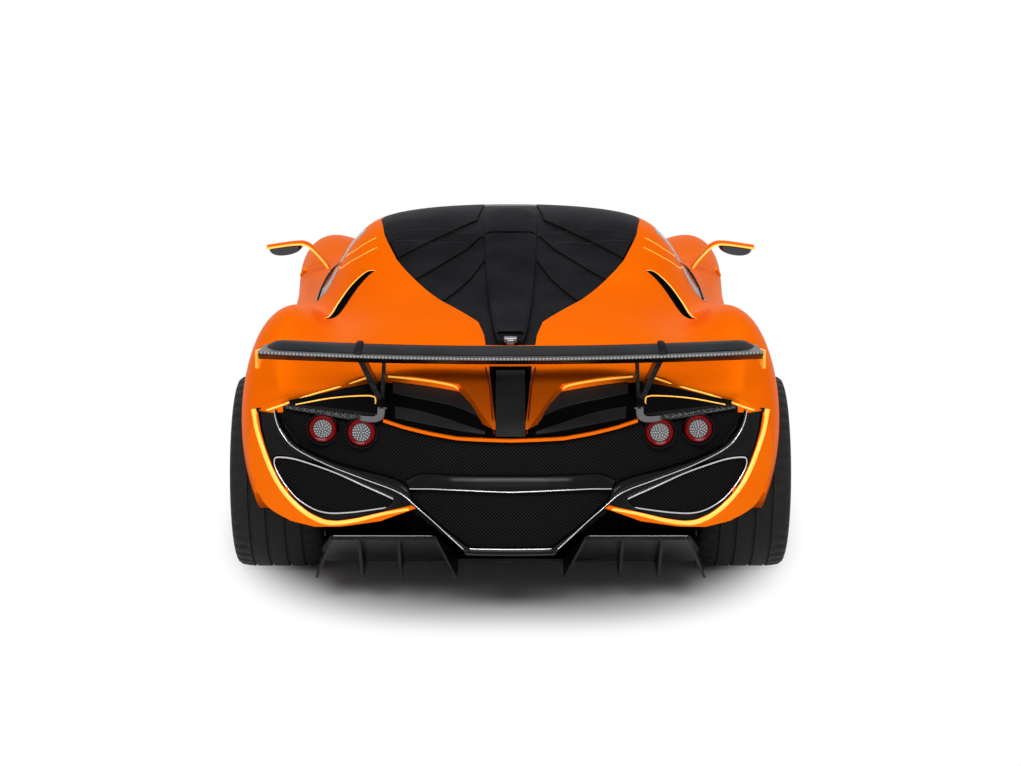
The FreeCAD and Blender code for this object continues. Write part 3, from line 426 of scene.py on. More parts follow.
POCKET_LINE = [(0.800, 0.578), (0.816, 0.570), (0.817, 0.547), (0.800, 0.511), (0.767, 0.468), (0.728, 0.433),
               (0.675, 0.407), (0.622, 0.400), (0.551, 0.410), (0.474, 0.427), (0.404, 0.445), (0.372, 0.458),
               (0.384, 0.468), (0.491, 0.507), (0.595, 0.545), (0.701, 0.572), (0.750, 0.580)]
MESH_FOOT = [(0.356, 0.545), (0.300, 0.571), (0.181, 0.575), (0.0, 0.577)]
SLOT_LINE = [(0.341, 0.520), (0.266, 0.526), (0.138, 0.527), (0.0, 0.524)]
SHELF_FOOT = [(0.770, 0.764), (0.632, 0.757), (0.500, 0.750), (0.455, 0.752), (0.438, 0.764), (0.434, 0.792)]

# Edges of the deck on its left side: along, across and up
SLOT_EDGE = [(-2.008, 0.838, 0.748), (-2.000, 0.812, 0.754), (-1.972, 0.700, 0.790), (-1.950, 0.595, 0.816),
             (-1.921, 0.490, 0.845)]
VENT_EDGE = [(-1.927, 0.423, 0.848), (-1.945, 0.357, 0.846), (-1.970, 0.270, 0.840), (-1.991, 0.201, 0.831),
             (-2.003, 0.180, 0.822)]
FIN_EDGE = [(-1.892, 0.086, 0.872), (-2.006, 0.072, 0.835), (-2.147, 0.063, 0.781), (-2.250, 0.055, 0.724)]
SHELF_LIP = [(-2.045, 0.735, 0.776), (-2.036, 0.611, 0.797), (-2.050, 0.480, 0.808), (-2.075, 0.460, 0.798),
             (-2.105, 0.462, 0.782)]


def tail_x(y):
    y = abs(y)
    for (y0, x0), (y1, x1) in zip(TAIL_PLAN, TAIL_PLAN[1:]):
        if y <= y1:
            return x0 + (x1 - x0) * (y - y0) / (y1 - y0)
    return TAIL_PLAN[-1][1]


# Smooth path through points, as evenly counted samples
def smooth(points, count, closed=False):
    points = [Vector(p) for p in points]
    last = len(points) if closed else len(points) - 1
    lengths = [0.0]
    for i in range(last):
        lengths.append(lengths[-1] + (points[(i + 1) % len(points)] - points[i]).length)
    result = []
    for k in range(count):
        target = lengths[-1] * k / (count if closed else count - 1)
        i = 0
        while i < last - 1 and lengths[i + 1] < target:
            i += 1
        t = (target - lengths[i]) / max(lengths[i + 1] - lengths[i], 1e-9)
        p1, p2 = points[i], points[(i + 1) % len(points)]
        if closed:
            p0, p3 = points[i - 1], points[(i + 2) % len(points)]
        else:
            p0 = points[i - 1] if i > 0 else p1 * 2 - p2
            p3 = points[i + 2] if i + 2 < len(points) else p2 * 2 - p1
        tt, ttt = t * t, t * t * t
        result.append(0.5 * (2 * p1 + (p2 - p0) * t + (2 * p0 - 5 * p1 + 4 * p2 - p3) * tt
                             + (3 * p1 - p0 - 3 * p2 + p3) * ttt))
    return result


# Line of the tail at a depth behind the body skin
def on_tail(line, depth, count, closed=False):
    flat = smooth([(0, y, z) for y, z in line], count, closed)
    return [Vector((tail_x(p.y) + depth, p.y, p.z)) for p in flat]


# Line of the left side carried on over the middle to the right side
def across(line):
    return line + [(-y, z) for y, z in reversed(line[:-1])]


def other_side(path):
    return [Vector((p.x, -p.y, p.z)) for p in path]


def mirrored(*paths):
    return [*paths, *(other_side(path) for path in paths)]


def finish_piece(name, bm, mat, body="chassis", angle=40):
    bmesh.ops.remove_doubles(bm, verts=bm.verts, dist=1e-6)
    bmesh.ops.recalc_face_normals(bm, faces=bm.faces)
    mesh = bpy.data.meshes.new(name)
    bm.to_mesh(mesh)
    bm.free()
    mesh.materials.append(mat)
    for face in mesh.polygons:
        face.use_smooth = True
    mesh.set_sharp_from_angle(angle=math.radians(angle))
    obj = bpy.data.objects.new(name, mesh)
    bpy.context.scene.collection.objects.link(obj)
    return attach(obj, body)


# Rows of points joined into faces
def add_grid(bm, rows, closed_rows=False, closed_ring=False):
    verts = [[bm.verts.new(p) for p in row] for row in rows]
    count = len(rows)
    for i in range(count if closed_rows else count - 1):
        a, b = verts[i], verts[(i + 1) % count]
        size = len(a)
        for j in range(size if closed_ring else size - 1):
            k = (j + 1) % size
            bm.faces.new((a[j], a[k], b[k], b[j]))
    return verts


# Rings of points joined into a closed body
def add_span(bm, rings):
    verts = add_grid(bm, rings, False, True)
    bm.faces.new(verts[0])
    bm.faces.new(list(reversed(verts[-1])))


# Faces across the first and the last points of rows
def add_ends(bm, rows):
    for end in (0, -1):
        bm.faces.new([bm.verts.new(row[end]) for row in rows])


# Rod of round or flattened section along a path
def add_tube(bm, path, radius, sides=8, closed=False, flat=1.0, lean=(1, 0, 0)):
    rings = []
    count = len(path)
    for i, p in enumerate(path):
        a = path[i - 1] if (i > 0 or closed) else path[i]
        b = path[(i + 1) % count] if (i < count - 1 or closed) else path[i]
        tangent = (b - a).normalized()
        side = tangent.cross(Vector(lean))
        if side.length < 1e-4:
            side = tangent.cross(UP)
        side.normalize()
        up = side.cross(tangent).normalized()
        size = radius(i / (count - 1)) if callable(radius) else radius
        ring = []
        for s in range(sides):
            turn = 2 * math.pi * s / sides
            ring.append(p + side * math.cos(turn) * size + up * math.sin(turn) * size * flat)
        rings.append(ring)
    if closed:
        add_grid(bm, rings, True, True)
    else:
        add_span(bm, rings)


def tubes(name, paths, radius, mat, body="chassis", **section):
    bm = bmesh.new()
    for path in paths:
        add_tube(bm, path, radius, **section)
    return finish_piece(name, bm, mat, body, 60)


# Plate lofted between two paths, with a bulge and a thickness
def add_loft(bm, first, second, bulge, steps, thickness, push=BACK, closed=False):
    rows = []
    for s in range(steps + 1):
        t = s / steps
        lift = math.sin(math.pi * t) * bulge
        rows.append([a.lerp(b, t) + push * lift for a, b in zip(first, second)])
    rows += [[p - push * thickness for p in row] for row in reversed(rows)]
    add_grid(bm, rows, True, closed)
    if not closed:
        add_ends(bm, rows)


# The same plate on both sides of the car
def add_lofts(bm, first, second, *shape):
    add_loft(bm, first, second, *shape)
    add_loft(bm, other_side(first), other_side(second), *shape)


def add_box(bm, low, high, bevel=0.0):
    low, high = Vector(low), Vector(high)
    made = bmesh.ops.create_cube(bm, size=1.0)["verts"]
    for v in made:
        v.co = Vector((low[i] + (high[i] - low[i]) * (v.co[i] + 0.5) for i in range(3)))
    if bevel > 0:
        edges = list({e for v in made for e in v.link_edges})
        bmesh.ops.bevel(bm, geom=edges, offset=bevel, segments=2, affect="EDGES", profile=0.5)


# Surface of revolution about an axis through a centre, from a profile of radius and height
def add_lathe(bm, profile, centre, axis, steps=48):
    axis = Vector(axis).normalized()
    side = axis.orthogonal().normalized()
    up = axis.cross(side)
    rows = []
    for s in range(steps):
        turn = 2 * math.pi * s / steps
        ray = side * math.cos(turn) + up * math.sin(turn)
        rows.append([Vector(centre) + axis * along + ray * radius for radius, along in profile])
    add_grid(bm, rows, True, False)


# Ring of small beads in a plane that faces backwards
def add_dots(bm, at, count, radius, size):
    for number in range(count):
        turn = 2 * math.pi * number / count
        place = at + Vector((0, math.cos(turn) * radius, math.sin(turn) * radius))
        bmesh.ops.create_icosphere(bm, subdivisions=1, radius=size, matrix=Matrix.Translation(place))


# Search tree over CAD nodes, to lay pieces on their faces
def surface_of(*names):
    bm = bmesh.new()
    for name in names:
        bm.from_mesh(NODES[name].data)
    tree = BVHTree.FromBMesh(bm)
    bm.free()
    return tree


# Path laid on a surface by dropping points along a direction
def draped(points, tree, aim, lift, count):
    path = []
    for p in smooth(points, count):
        hit, normal, _, _ = tree.ray_cast(p - aim * 1.5, aim)
        if hit is not None:
            if normal.dot(aim) > 0:
                normal = -normal
            path.append(hit + normal * lift)
    return path


# Plan line of along and across dropped on a surface
def dropped(plan, tree, lift=0.0005, count=60):
    return draped([(x, y, 0) for x, y in plan], tree, DOWN, lift, count)


# Painted highlights: glowing lines along the tail's orange edges and the deck's edges; the fin edges get dark
# red lines of painted shade
EDGE_R = 0.0085
EDGE_R_END = 0.0040
EDGE_TAPER_FROM = 0.6


def tail_highlight_lines():
    def taper(t):
        return EDGE_R - (EDGE_R - EDGE_R_END) * max(0.0, t - EDGE_TAPER_FROM) / (1 - EDGE_TAPER_FROM)

    tubes("tail_highlight_lines", mirrored(on_tail(GLOW_LINE, -0.001, 60)), taper, EDGE_HIGHLIGHT, flat=0.6)
    tubes("deck_highlight_lines", mirrored(smooth(SLOT_EDGE, 24), smooth(VENT_EDGE, 30)), 0.0035, EDGE_HIGHLIGHT, flat=0.7)
    # Dark red lines of painted shade along the fins
    tubes("fin_edge_shade_lines", mirrored(smooth(FIN_EDGE, 20)), 0.003, EDGE_SHADE)


# Rounded foot of the bumper corners
CORNER_TOP = [(0.770, 0.475), (0.840, 0.480), (0.895, 0.490)]
CORNER_FOOT = [(0.740, 0.358), (0.800, 0.376), (0.850, 0.404), (0.878, 0.446), (0.890, 0.486)]
CORNER_PROUD = -0.0015


def bumper_corners():
    bm = bmesh.new()
    top = on_tail(CORNER_TOP, CORNER_PROUD, 30)
    foot = on_tail(CORNER_FOOT, CORNER_PROUD, 30)
    add_lofts(bm, top, foot, 0.0, 6, 0.028)
    finish_piece("bumper_corners", bm, PAINT)


# Black band between the deck's fins, laid on the panels and turned in at its foot
BAND_X = -1.900
BAND_STEP = 0.004
BAND_HALF = 0.050
BAND_CELLS = 8
BAND_FOOT_Z = 0.725


def centre_band():
    tree = surface_of("rear_quarters", "vent_panel")
    rows = []
    for k in range(90):
        row = []
        for j in range(BAND_CELLS + 1):
            start = Vector((BAND_X - BAND_STEP * k, BAND_HALF * (2 * j / BAND_CELLS - 1), 0.93))
            hit = tree.ray_cast(start, DOWN)[0]
            if hit and hit.z > BAND_FOOT_Z:
                row.append(hit + Vector((0, 0, 0.002)))
        if len(row) == BAND_CELLS + 1:
            rows.append(row)
    rows.append([p + Vector((-0.006, 0, -0.003)) for p in rows[-1]])
    rows.append([p + Vector((0, 0, -0.024)) for p in rows[-1]])
    bm = bmesh.new()
    add_grid(bm, rows)
    finish_piece("centre_band", bm, VENT_BLACK)


# Two closed paths, both started at the point straight out from the second one's centre
def aligned(outer, inner):
    centre = sum(inner, Vector()) / len(inner)

    def angle(p):
        return math.atan2(p.z - centre.z, p.y - centre.y)

    def shifted(path):
        start = min(range(len(path)), key=lambda i: abs(angle(path[i])))
        path = path[start:] + path[:start]
        if angle(path[3]) < 0:
            path = [path[0]] + path[:0:-1]
        return path

    return shifted(outer), shifted(inner)


# Black frame around the corner pockets, with its silver trim
def tail_frames():
    ring = GLOW_LINE + SILVER_LINE[10::-1]
    pocket = on_tail(POCKET_LINE, 0.022, 120, True)
    outer, inner = aligned(on_tail(ring, 0.008, 120, True), pocket)
    bm = bmesh.new()
    add_lofts(bm, outer, inner, 0.010, 8, 0.004, BACK, True)
    finish_piece("tail_frames", bm, GLOSS_BLACK, angle=70)
    tubes("pocket_trims", mirrored(on_tail(POCKET_LINE, 0.016, 120, True)), 0.004, SILVER, closed=True)


# Broad black arms of the V, with the bar across their foot and the bridge above the lower mesh
ARM_DEPTH = 0.004
LINE_PROUD = -0.002


def tail_arms():
    bm = bmesh.new()
    add_lofts(bm, on_tail(SILVER_LINE, ARM_DEPTH, 60), on_tail(ARM_LINE, ARM_DEPTH, 60), 0.014, 8, 0.010)
    foot = on_tail(across([(0.165, 0.326), (0.0, 0.326)]), ARM_DEPTH, 24)
    sole = on_tail(across([(0.150, 0.300), (0.0, 0.300)]), ARM_DEPTH, 24)
    add_loft(bm, foot, sole, 0.008, 6, 0.014)
    top = on_tail(across(MESH_FOOT), 0.018, 60)
    base = on_tail(across(SLOT_LINE), 0.003, 60)
    add_loft(bm, top, base, 0.004, 6, 0.006)
    arms = finish_piece("tail_arms", bm, GLOSS_BLACK, angle=70)
    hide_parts("rear_arms")
    lines = mirrored(on_tail(SILVER_LINE, LINE_PROUD, 70))
    lines.append(on_tail(across(SLOT_LINE), -0.001, 60))
    lines.append(on_tail(across([(0.150, 0.324), (0.0, 0.324)]), LINE_PROUD, 24))
    tubes("tail_silver_lines", lines, 0.0024, SILVER)


# Round tail lamps: red ring with a ring of beads, around a grey centre with rings of bright dots
LAMPS = [(0.641, 0.701), (0.506, 0.701)]
LAMP_R = 0.055
CASE_PROFILE = [(LAMP_R, -0.060), (LAMP_R, 0.006), (LAMP_R - 0.004, 0.008), (LAMP_R - 0.007, 0.002),
                (LAMP_R - 0.008, -0.060)]
RING_PROFILE = [(LAMP_R - 0.007, -0.02), (LAMP_R - 0.009, 0.003), (LAMP_R - 0.014, 0.006),
                (LAMP_R - 0.021, 0.003), (LAMP_R - 0.022, -0.02)]
CENTRE_PROFILE = [(LAMP_R - 0.022, -0.02), (LAMP_R - 0.023, 0.000), (0.012, 0.002), (0.0005, 0.003)]
DOT_RINGS = ((18, 0.0275), (13, 0.0205), (8, 0.0135), (4, 0.0060))


def tail_lamps():
    case, ring, beads, centre, dots = [bmesh.new() for _ in range(5)]
    for y, z in LAMPS:
        for side, _ in SIDES:
            at = Vector((tail_x(y) - 0.002, side * y, z))
            add_lathe(case, CASE_PROFILE, at, BACK)
            add_lathe(ring, RING_PROFILE, at, BACK)
            add_lathe(centre, CENTRE_PROFILE, at, BACK)
            add_dots(beads, at + BACK * 0.005, 30, LAMP_R - 0.0145, 0.0026)
            for count, radius in DOT_RINGS:
                add_dots(dots, at + BACK * 0.002, count, radius, 0.0030)
    cases = finish_piece("tail_lamp_cases", case, GLOSS_BLACK)
    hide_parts("tail_lamps")
    finish_piece("tail_lamp_rings", ring, RED)
    finish_piece("tail_lamp_beads", beads, BEAD)
    finish_piece("tail_lamp_centres", centre, LAMP_GREY)
    finish_piece("tail_lamp_dots", dots, WHITE)


# Shelf above the lamps: woven edge, bracket that curls up to the strut, and an orange lip in glowing edge
# paint, a real lip with a painted highlight
def lamp_shelf_trims():
    foot = on_tail(SHELF_FOOT, 0.002, 40)
    curl = foot[-12:]
    tubes("shelf_edges", mirrored(foot), lambda t: 0.006 + 0.008 * t, SHELF_CARBON, sides=10, flat=0.8)
    tubes("shelf_brackets", mirrored(curl), lambda t: 0.013 + 0.004 * t, SMOKE, sides=10, flat=0.8)
    tubes("shelf_lips", mirrored(smooth(SHELF_LIP, 30)), 0.0025, EDGE_HIGHLIGHT)


# Stepped louvre plates inside the vents, as top and foot lines
VENT_PLATES = {
    "vent_upper_plates": ([(-1.900, 0.408, 0.839), (-1.927, 0.296, 0.834), (-1.962, 0.176, 0.823),
                           (-2.040, 0.140, 0.794), (-2.138, 0.100, 0.754)],
                          [(-2.000, 0.404, 0.809), (-2.025, 0.336, 0.801), (-2.057, 0.241, 0.789),
                           (-2.088, 0.172, 0.777), (-2.140, 0.097, 0.755)]),
    "vent_lower_plates": ([(-2.077, 0.394, 0.777), (-2.101, 0.316, 0.770), (-2.136, 0.239, 0.756),
                           (-2.176, 0.162, 0.740), (-2.216, 0.086, 0.724)],
                          [(-2.135, 0.391, 0.754), (-2.162, 0.314, 0.745), (-2.187, 0.238, 0.736),
                           (-2.210, 0.161, 0.726), (-2.227, 0.086, 0.718)]),
}


def vent_plates():
    for name, (top, foot) in VENT_PLATES.items():
        bm = bmesh.new()
        add_lofts(bm, smooth(top, 24), smooth(foot, 24), 0.002, 4, 0.004, UP)
        finish_piece(name, bm, VENT_BLACK)


# Rear wing, bowed towards the middle; its outlines are along and up
WING_HALF = 0.850
WING_BOW = 0.024
UNDERSIDE_BOW = 0.8
FLAP_SPAN = 0.985
FLAP_DROOP_FROM = 0.80
FLAP_DROOP = 0.018
FLAP = [(-1.870, 0.966), (-1.905, 0.976), (-1.980, 0.981), (-2.052, 0.974), (-2.052, 0.969), (-1.980, 0.973),
        (-1.905, 0.968)]
MAIN_TOP = [(-1.855, 0.944), (-1.900, 0.957), (-2.000, 0.966), (-2.080, 0.974), (-2.155, 0.985)]
MAIN_FOOT = [(-2.155, 0.979), (-2.110, 0.950), (-2.040, 0.936), (-1.950, 0.930), (-1.880, 0.934)]
END_PLATE = [(-1.960, 0.955), (-2.158, 0.990), (-2.166, 0.930), (-2.120, 0.918), (-2.040, 0.925),
             (-1.970, 0.935)]
END_PLATE_WALL = 0.008
TRAILING_EDGE = (-2.156, 0.982)
CLAMP = [(-1.875, 0.972), (-1.905, 0.982), (-1.980, 0.988), (-2.054, 0.979), (-2.075, 0.968)]
CLAMP_Y = 0.520
STATIONS = [WING_HALF * (k / 30 - 1) for k in range(61)]


# Drop of the wing below its ends
def bow(y, share=1.0):
    return -WING_BOW * share * (1.0 - (y / WING_HALF) ** 2)


# Body swept over the wing's stations, from its section at each of them
def wing_body(name, section, mat):
    bm = bmesh.new()
    add_span(bm, [section(y) for y in STATIONS])
    return finish_piece(name, bm, mat, angle=35)


# Woven plane whose underside bows a little less
def main_plane():
    def section(y):
        top = [Vector((x, y, z + bow(y))) for x, z in MAIN_TOP]
        return top + [Vector((x, y, z + bow(y, UNDERSIDE_BOW))) for x, z in MAIN_FOOT]

    main = wing_body("wing_main_plane", section, CARBON)
    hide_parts("rear_wing")


# Dark flap on top, drooping at its ends
def wing_flap():
    def section(y):
        droop = max(0.0, (abs(y) - FLAP_DROOP_FROM) / (WING_HALF - FLAP_DROOP_FROM))
        return [Vector((x, y * FLAP_SPAN, z + bow(y) - FLAP_DROOP * droop * droop)) for x, z in FLAP]

    wing_body("wing_flap", section, FLAP_BLACK)


def wing_fittings():
    x, z = TRAILING_EDGE
    edge = [Vector((x, y, z + bow(y))) for y in STATIONS]
    tubes("wing_trailing_edge", [edge], 0.0045, EDGE_WEAVE_GLINTS)
    plates = bmesh.new()
    clamps = bmesh.new()
    for side, _ in SIDES:
        add_span(plates, [[Vector((x, side * y, z)) for x, z in END_PLATE]
                          for y in (WING_HALF, WING_HALF + END_PLATE_WALL)])
        y = side * CLAMP_Y
        path = smooth([(x, y, z + bow(y)) for x, z in CLAMP], 24)
        add_tube(clamps, path, 0.012, flat=0.35, lean=UP)
    # Orange end plates that glow though they are no lamps: a painted highlight
    finish_piece("wing_end_plates", plates, END_PLATE_GLOW, angle=30)
    finish_piece("wing_clamps", clamps, BLACK, angle=50)


# Door mirrors: arched orange blade with a woven housing and mirror glass below its tip
MIRROR_ARCH = [(0.795, 0.795), (0.812, 0.822), (0.842, 0.858), (0.875, 0.890), (0.905, 0.904), (0.945, 0.904),
               (1.000, 0.897), (1.066, 0.887)]
MIRROR_X = 0.470
MIRROR_WIDE = 0.095
BLADE_SECTION = [(0.0, 0.0), (0.08, 0.005), (0.5, 0.008), (0.92, 0.005), (1.0, 0.0), (0.92, -0.005),
                 (0.5, -0.006), (0.08, -0.005)]
HOUSING_Y = 0.985
HOUSING_X = 0.486
HOUSING_LONG = 0.100
GLASS_XS = (0.485, 0.482)

# Housing and glass: top, half width and height
HOUSING = (0.892, 0.074, 0.044)
HOUSING_GLASS = (0.889, 0.060, 0.034)


# Half round outline under the blade, which slopes outwards
def housing_ring(x, side, top, wide, high):
    ring = []
    for j in range(25):
        turn = math.pi * j / 24
        y = HOUSING_Y + math.cos(turn) * wide
        z = top - math.sin(turn) ** 0.7 * high - (y - HOUSING_Y) * 0.12
        ring.append(Vector((x, side * y, z)))
    return ring


def mirror_blade(name, body, arch):
    rows = []
    for share, lift in BLADE_SECTION:
        row = []
        for i, p in enumerate(arch):
            t = i / (len(arch) - 1)
            wide = MIRROR_WIDE * (1.0 - 0.25 * t)
            row.append(Vector((p.x + wide * share + 0.012 * t, p.y, p.z + lift)))
        rows.append(row)
    bm = bmesh.new()
    add_grid(bm, rows, True, False)
    add_ends(bm, rows)
    blade = finish_piece("mirror_blade_" + name, bm, PAINT, body, 50)
    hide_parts("mirror_" + name)
    # Glowing line along the blade's arch: a painted highlight
    tubes("mirror_highlight_" + name, [[p + BACK * 0.002 for p in arch]], 0.0042, EDGE_HIGHLIGHT, body)


def mirror_housing(name, body, side):
    top, wide, high = HOUSING
    bm = bmesh.new()
    rings = []
    for k in range(9):
        t = k / 8
        size = math.sin(math.pi * (0.22 + 0.56 * t)) ** 0.5
        rings.append(housing_ring(HOUSING_X + HOUSING_LONG * t, side, top, wide * size, high * size))
    add_span(bm, rings)
    finish_piece("mirror_housing_" + name, bm, CARBON, body, 50)
    bm = bmesh.new()
    rings = [housing_ring(x, side, *HOUSING_GLASS) for x in GLASS_XS]
    add_grid(bm, rings, False, True)
    bm.faces.new([bm.verts.new(p) for p in rings[1]])
    finish_piece("mirror_glass_" + name, bm, MIRROR, body, 50)


def mirrors():
    for side, name in SIDES:
        body = "door_" + name
        arch = smooth([(MIRROR_X, y * side, z) for y, z in MIRROR_ARCH], 40)
        mirror_blade(name, body, arch)
        mirror_housing(name, body, side)


# Tyres: axle, outer face and width, then the tread with rib grooves and cuts in its shoulders
AXLES = (("front_", FRONT_AXLE, 0.985, 0.255), ("rear_", REAR_AXLE, 1.015, 0.335))
TYRES = {end + name: (axle, outer, width, side) for end, axle, outer, width in AXLES for side, name in SIDES}
TYRE_STEPS = 252
GROOVE_DEPTH = 0.0075
CUT_DEPTH = 0.006
CUT_PITCH = 6
CUT_WIDE = 2
TREAD_SKEW = 0.10


# Half section from the bead to the middle, then its mirror: radius, across, and whether the cuts reach it
def tyre_profile(radius, width):
    half = width / 2
    wall = [(0.2545, half - 0.020), (0.262, half - 0.010), (0.272, half - 0.007), (0.274, half - 0.004),
            (radius - 0.048, half - 0.001), (radius - 0.040, half - 0.002), (radius - 0.030, half - 0.004)]
    shoulder = [(radius - 0.016, half - 0.009), (radius - 0.006, half - 0.022),
                (radius - 0.002, half - 0.045)]
    points = [(r, y, False) for r, y in wall] + [(r, y, True) for r, y in shoulder]
    low = radius - GROOVE_DEPTH
    for y in (half * 0.56, half * 0.20):
        points += [(radius, y + 0.006, False), (low, y + 0.004, False), (low, y - 0.004, False),
                   (radius, y - 0.006, False)]
    return points + [(r, -y, cut) for r, y, cut in reversed(points)]


def tyres():
    for name, (axle, outer, width, side) in TYRES.items():
        centre = Vector((axle.x, side * (outer - width / 2), axle.z))
        rows = []
        for s in range(TYRE_STEPS):
            row = []
            for r, y, cut in tyre_profile(axle.z, width):
                turn = 2 * math.pi * s / TYRE_STEPS + TREAD_SKEW * (y / width) * side
                if cut and s % CUT_PITCH < CUT_WIDE:
                    r -= CUT_DEPTH
                row.append(centre + Vector((math.cos(turn) * r, y, math.sin(turn) * r)))
            rows.append(row)
        bm = bmesh.new()
        add_grid(bm, rows, True, True)
        tyre = finish_piece("tyre_tread_" + name, bm, RUBBER, "wheel_" + name, 32)
        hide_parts("tyre_" + name)


# Dark liners: a wall inside each tyre, an arc above it, and a shield behind the rear axle
SHIELD = [(-1.700, 0.130), (-1.700, 0.480), (-1.706, 0.480), (-1.706, 0.130)]
SHIELD_Y = (0.400, 0.665)
LINER = 0.003
LINER_FOOT = 0.220
ARC_GAP = {"front": 0.049, "rear": 0.040}
ARC_YS = {"front": (0.585, 0.890), "rear": (0.655, 0.930)}


def wheel_liners():
    bm = bmesh.new()
    for name, (axle, _, _, side) in TYRES.items():
        end = name.split("_")[0]
        radius = axle.z + ARC_GAP[end]
        wall, rim = ARC_YS[end]
        section = [(wall, LINER_FOOT), (wall, radius), (rim, radius), (rim, radius + LINER),
                   (wall - LINER, radius + LINER), (wall - LINER, LINER_FOOT)]
        rings = []
        for k in range(49):
            turn = math.radians(-8 + 176 * k / 48)
            rings.append([Vector((axle.x + math.cos(turn) * r, side * y, axle.z + math.sin(turn) * r))
                          for y, r in section])
        add_span(bm, rings)
        if end == "rear":
            add_span(bm, [[Vector((x, side * y, z)) for x, z in SHIELD] for y in SHIELD_Y])
    finish_piece("wheel_liners", bm, DEEP_BLACK)


# Wheel details: hub nut with a ring of bolts, ridges on the spokes, and the rim's lip
SPOKES = 10
RIM_INSET = 0.014
DISH = {"front": 0.024, "rear": 0.040}
BOLT_CIRCLE_R = 0.049
HUB_PROFILE = [(0.060, -0.002), (0.058, 0.006), (0.044, 0.010), (0.040, 0.004), (0.034, 0.004),
               (0.032, 0.022), (0.026, 0.026), (0.016, 0.026), (0.014, 0.018), (0.0005, 0.018)]
BOLT_PROFILE = [(0.0055, -0.004), (0.0055, 0.004), (0.0035, 0.006), (0.0005, 0.006)]
LIP_PROFILE = [(0.2535, -0.004), (0.2535, 0.003), (0.250, 0.005), (0.243, 0.003), (0.241, -0.003),
               (0.244, -0.006)]
RIDGE = ((0.070, 0.003), (0.150, 0.005), (0.238, 0.003))


def hub_nut(name, at, out):
    bm = bmesh.new()
    add_lathe(bm, HUB_PROFILE, at, out)
    for number in range(SPOKES):
        turn = 2 * math.pi * (number + 0.5) / SPOKES
        ray = Vector((math.cos(turn), 0, math.sin(turn)))
        add_lathe(bm, BOLT_PROFILE, at + ray * BOLT_CIRCLE_R + out * 0.008, out, 6)
    finish_piece("hub_nut_" + name, bm, STEEL, "wheel_" + name, 35)


def spoke_ridges(name, at, out):
    bm = bmesh.new()
    for number in range(SPOKES):
        turn = 2 * math.pi * number / SPOKES
        ray = Vector((math.sin(turn), 0, math.cos(turn)))
        path = smooth([at + ray * reach + out * proud for reach, proud in RIDGE], 8)
        add_tube(bm, path, lambda t: 0.005 + 0.004 * t, flat=0.5, lean=(0, 1, 0))
    finish_piece("spoke_ridges_" + name, bm, RIM, "wheel_" + name, 50)


def rim_details():
    for name, (axle, outer, _, side) in TYRES.items():
        out = Vector((0, side, 0))
        lip = Vector((axle.x, side * (outer - RIM_INSET), axle.z))
        face = lip - out * DISH[name.split("_")[0]]
        hub_nut(name, face, out)
        bm = bmesh.new()
        add_lathe(bm, LIP_PROFILE, lip, out, 120)
        finish_piece("rim_lip_" + name, bm, RIM, "wheel_" + name, 35)
        spoke_ridges(name, face, out)


# Shut lines and lit edges across the roof and the haunches on the left side: along and across. The roof's
# shut lines and the buttress edges are drawn as glowing lines of painted highlight
ROOF_LINES = [[(-0.392, 0.540), (-0.396, 0.585), (-0.379, 0.627), (-0.319, 0.666)],
              [(-0.505, 0.530), (-0.505, 0.579), (-0.483, 0.621), (-0.406, 0.676), (-0.300, 0.700)]]
PANEL_LINE = [(-0.385, 0.500), (-0.390, 0.404), (-0.405, 0.270), (-0.440, 0.135)]
COVER_LINE = [(-0.476, 0.480), (-0.506, 0.400), (-0.534, 0.319), (-0.531, 0.227), (-0.548, 0.174)]
BUTTRESS_EDGE = [(-0.719, 0.529), (-0.697, 0.552), (-0.694, 0.575), (-0.703, 0.599), (-0.717, 0.628),
                 (-0.744, 0.654), (-0.795, 0.676), (-0.919, 0.690), (-1.004, 0.694), (-1.090, 0.702)]
SHADE_FOOT = [(-0.719, 0.529), (-0.730, 0.545), (-0.752, 0.566), (-0.786, 0.592), (-0.832, 0.618),
              (-0.884, 0.640), (-0.938, 0.658), (-0.990, 0.674), (-1.040, 0.688), (-1.090, 0.702)]
SHADE_LIFT = 0.0008


def roof_lines():
    tree = surface_of("rear_quarters", "roof_panel", "engine_cover", "roof_rails", "fenders", "door_left",
                      "door_right", "bonnet")
    # Painted highlights: glowing lines on the roof's shut edges and along the buttress edges
    lit = mirrored(*(dropped(line, tree) for line in ROOF_LINES))
    tubes("roof_shut_highlights", lit, 0.0016, EDGE_HIGHLIGHT, sides=6)
    tubes("panel_shut_lines", mirrored(dropped(PANEL_LINE, tree)), 0.0012, SHUT_LINE, sides=6)
    tubes("cover_shut_lines", mirrored(dropped(COVER_LINE, tree)), 0.0012, SHUT_LINE, "engine_cover", sides=6)
    tubes("buttress_edge_highlights", mirrored(dropped(BUTTRESS_EDGE, tree, 0.001)),
          lambda t: 0.001 + 0.003 * math.sin(math.pi * t), EDGE_HIGHLIGHT)


# Dark sheet laid on the quarter panel behind each buttress edge: painted shade in the hollow there
def buttress_shade_sheets():
    tree = surface_of("rear_quarters")
    edge = dropped(BUTTRESS_EDGE, tree, SHADE_LIFT)
    foot = dropped(SHADE_FOOT, tree, SHADE_LIFT)
    bm = bmesh.new()
    for first, second in ((edge, foot), (other_side(edge), other_side(foot))):
        rows = []
        for k in range(9):
            near = [tree.find_nearest(p.lerp(q, k / 8)) for p, q in zip(first, second)]
            rows.append([place + normal * SHADE_LIFT for place, normal, _, _ in near])
        add_grid(bm, rows)
    finish_piece("buttress_painted_shade", bm, DEEP_BLACK, angle=60)


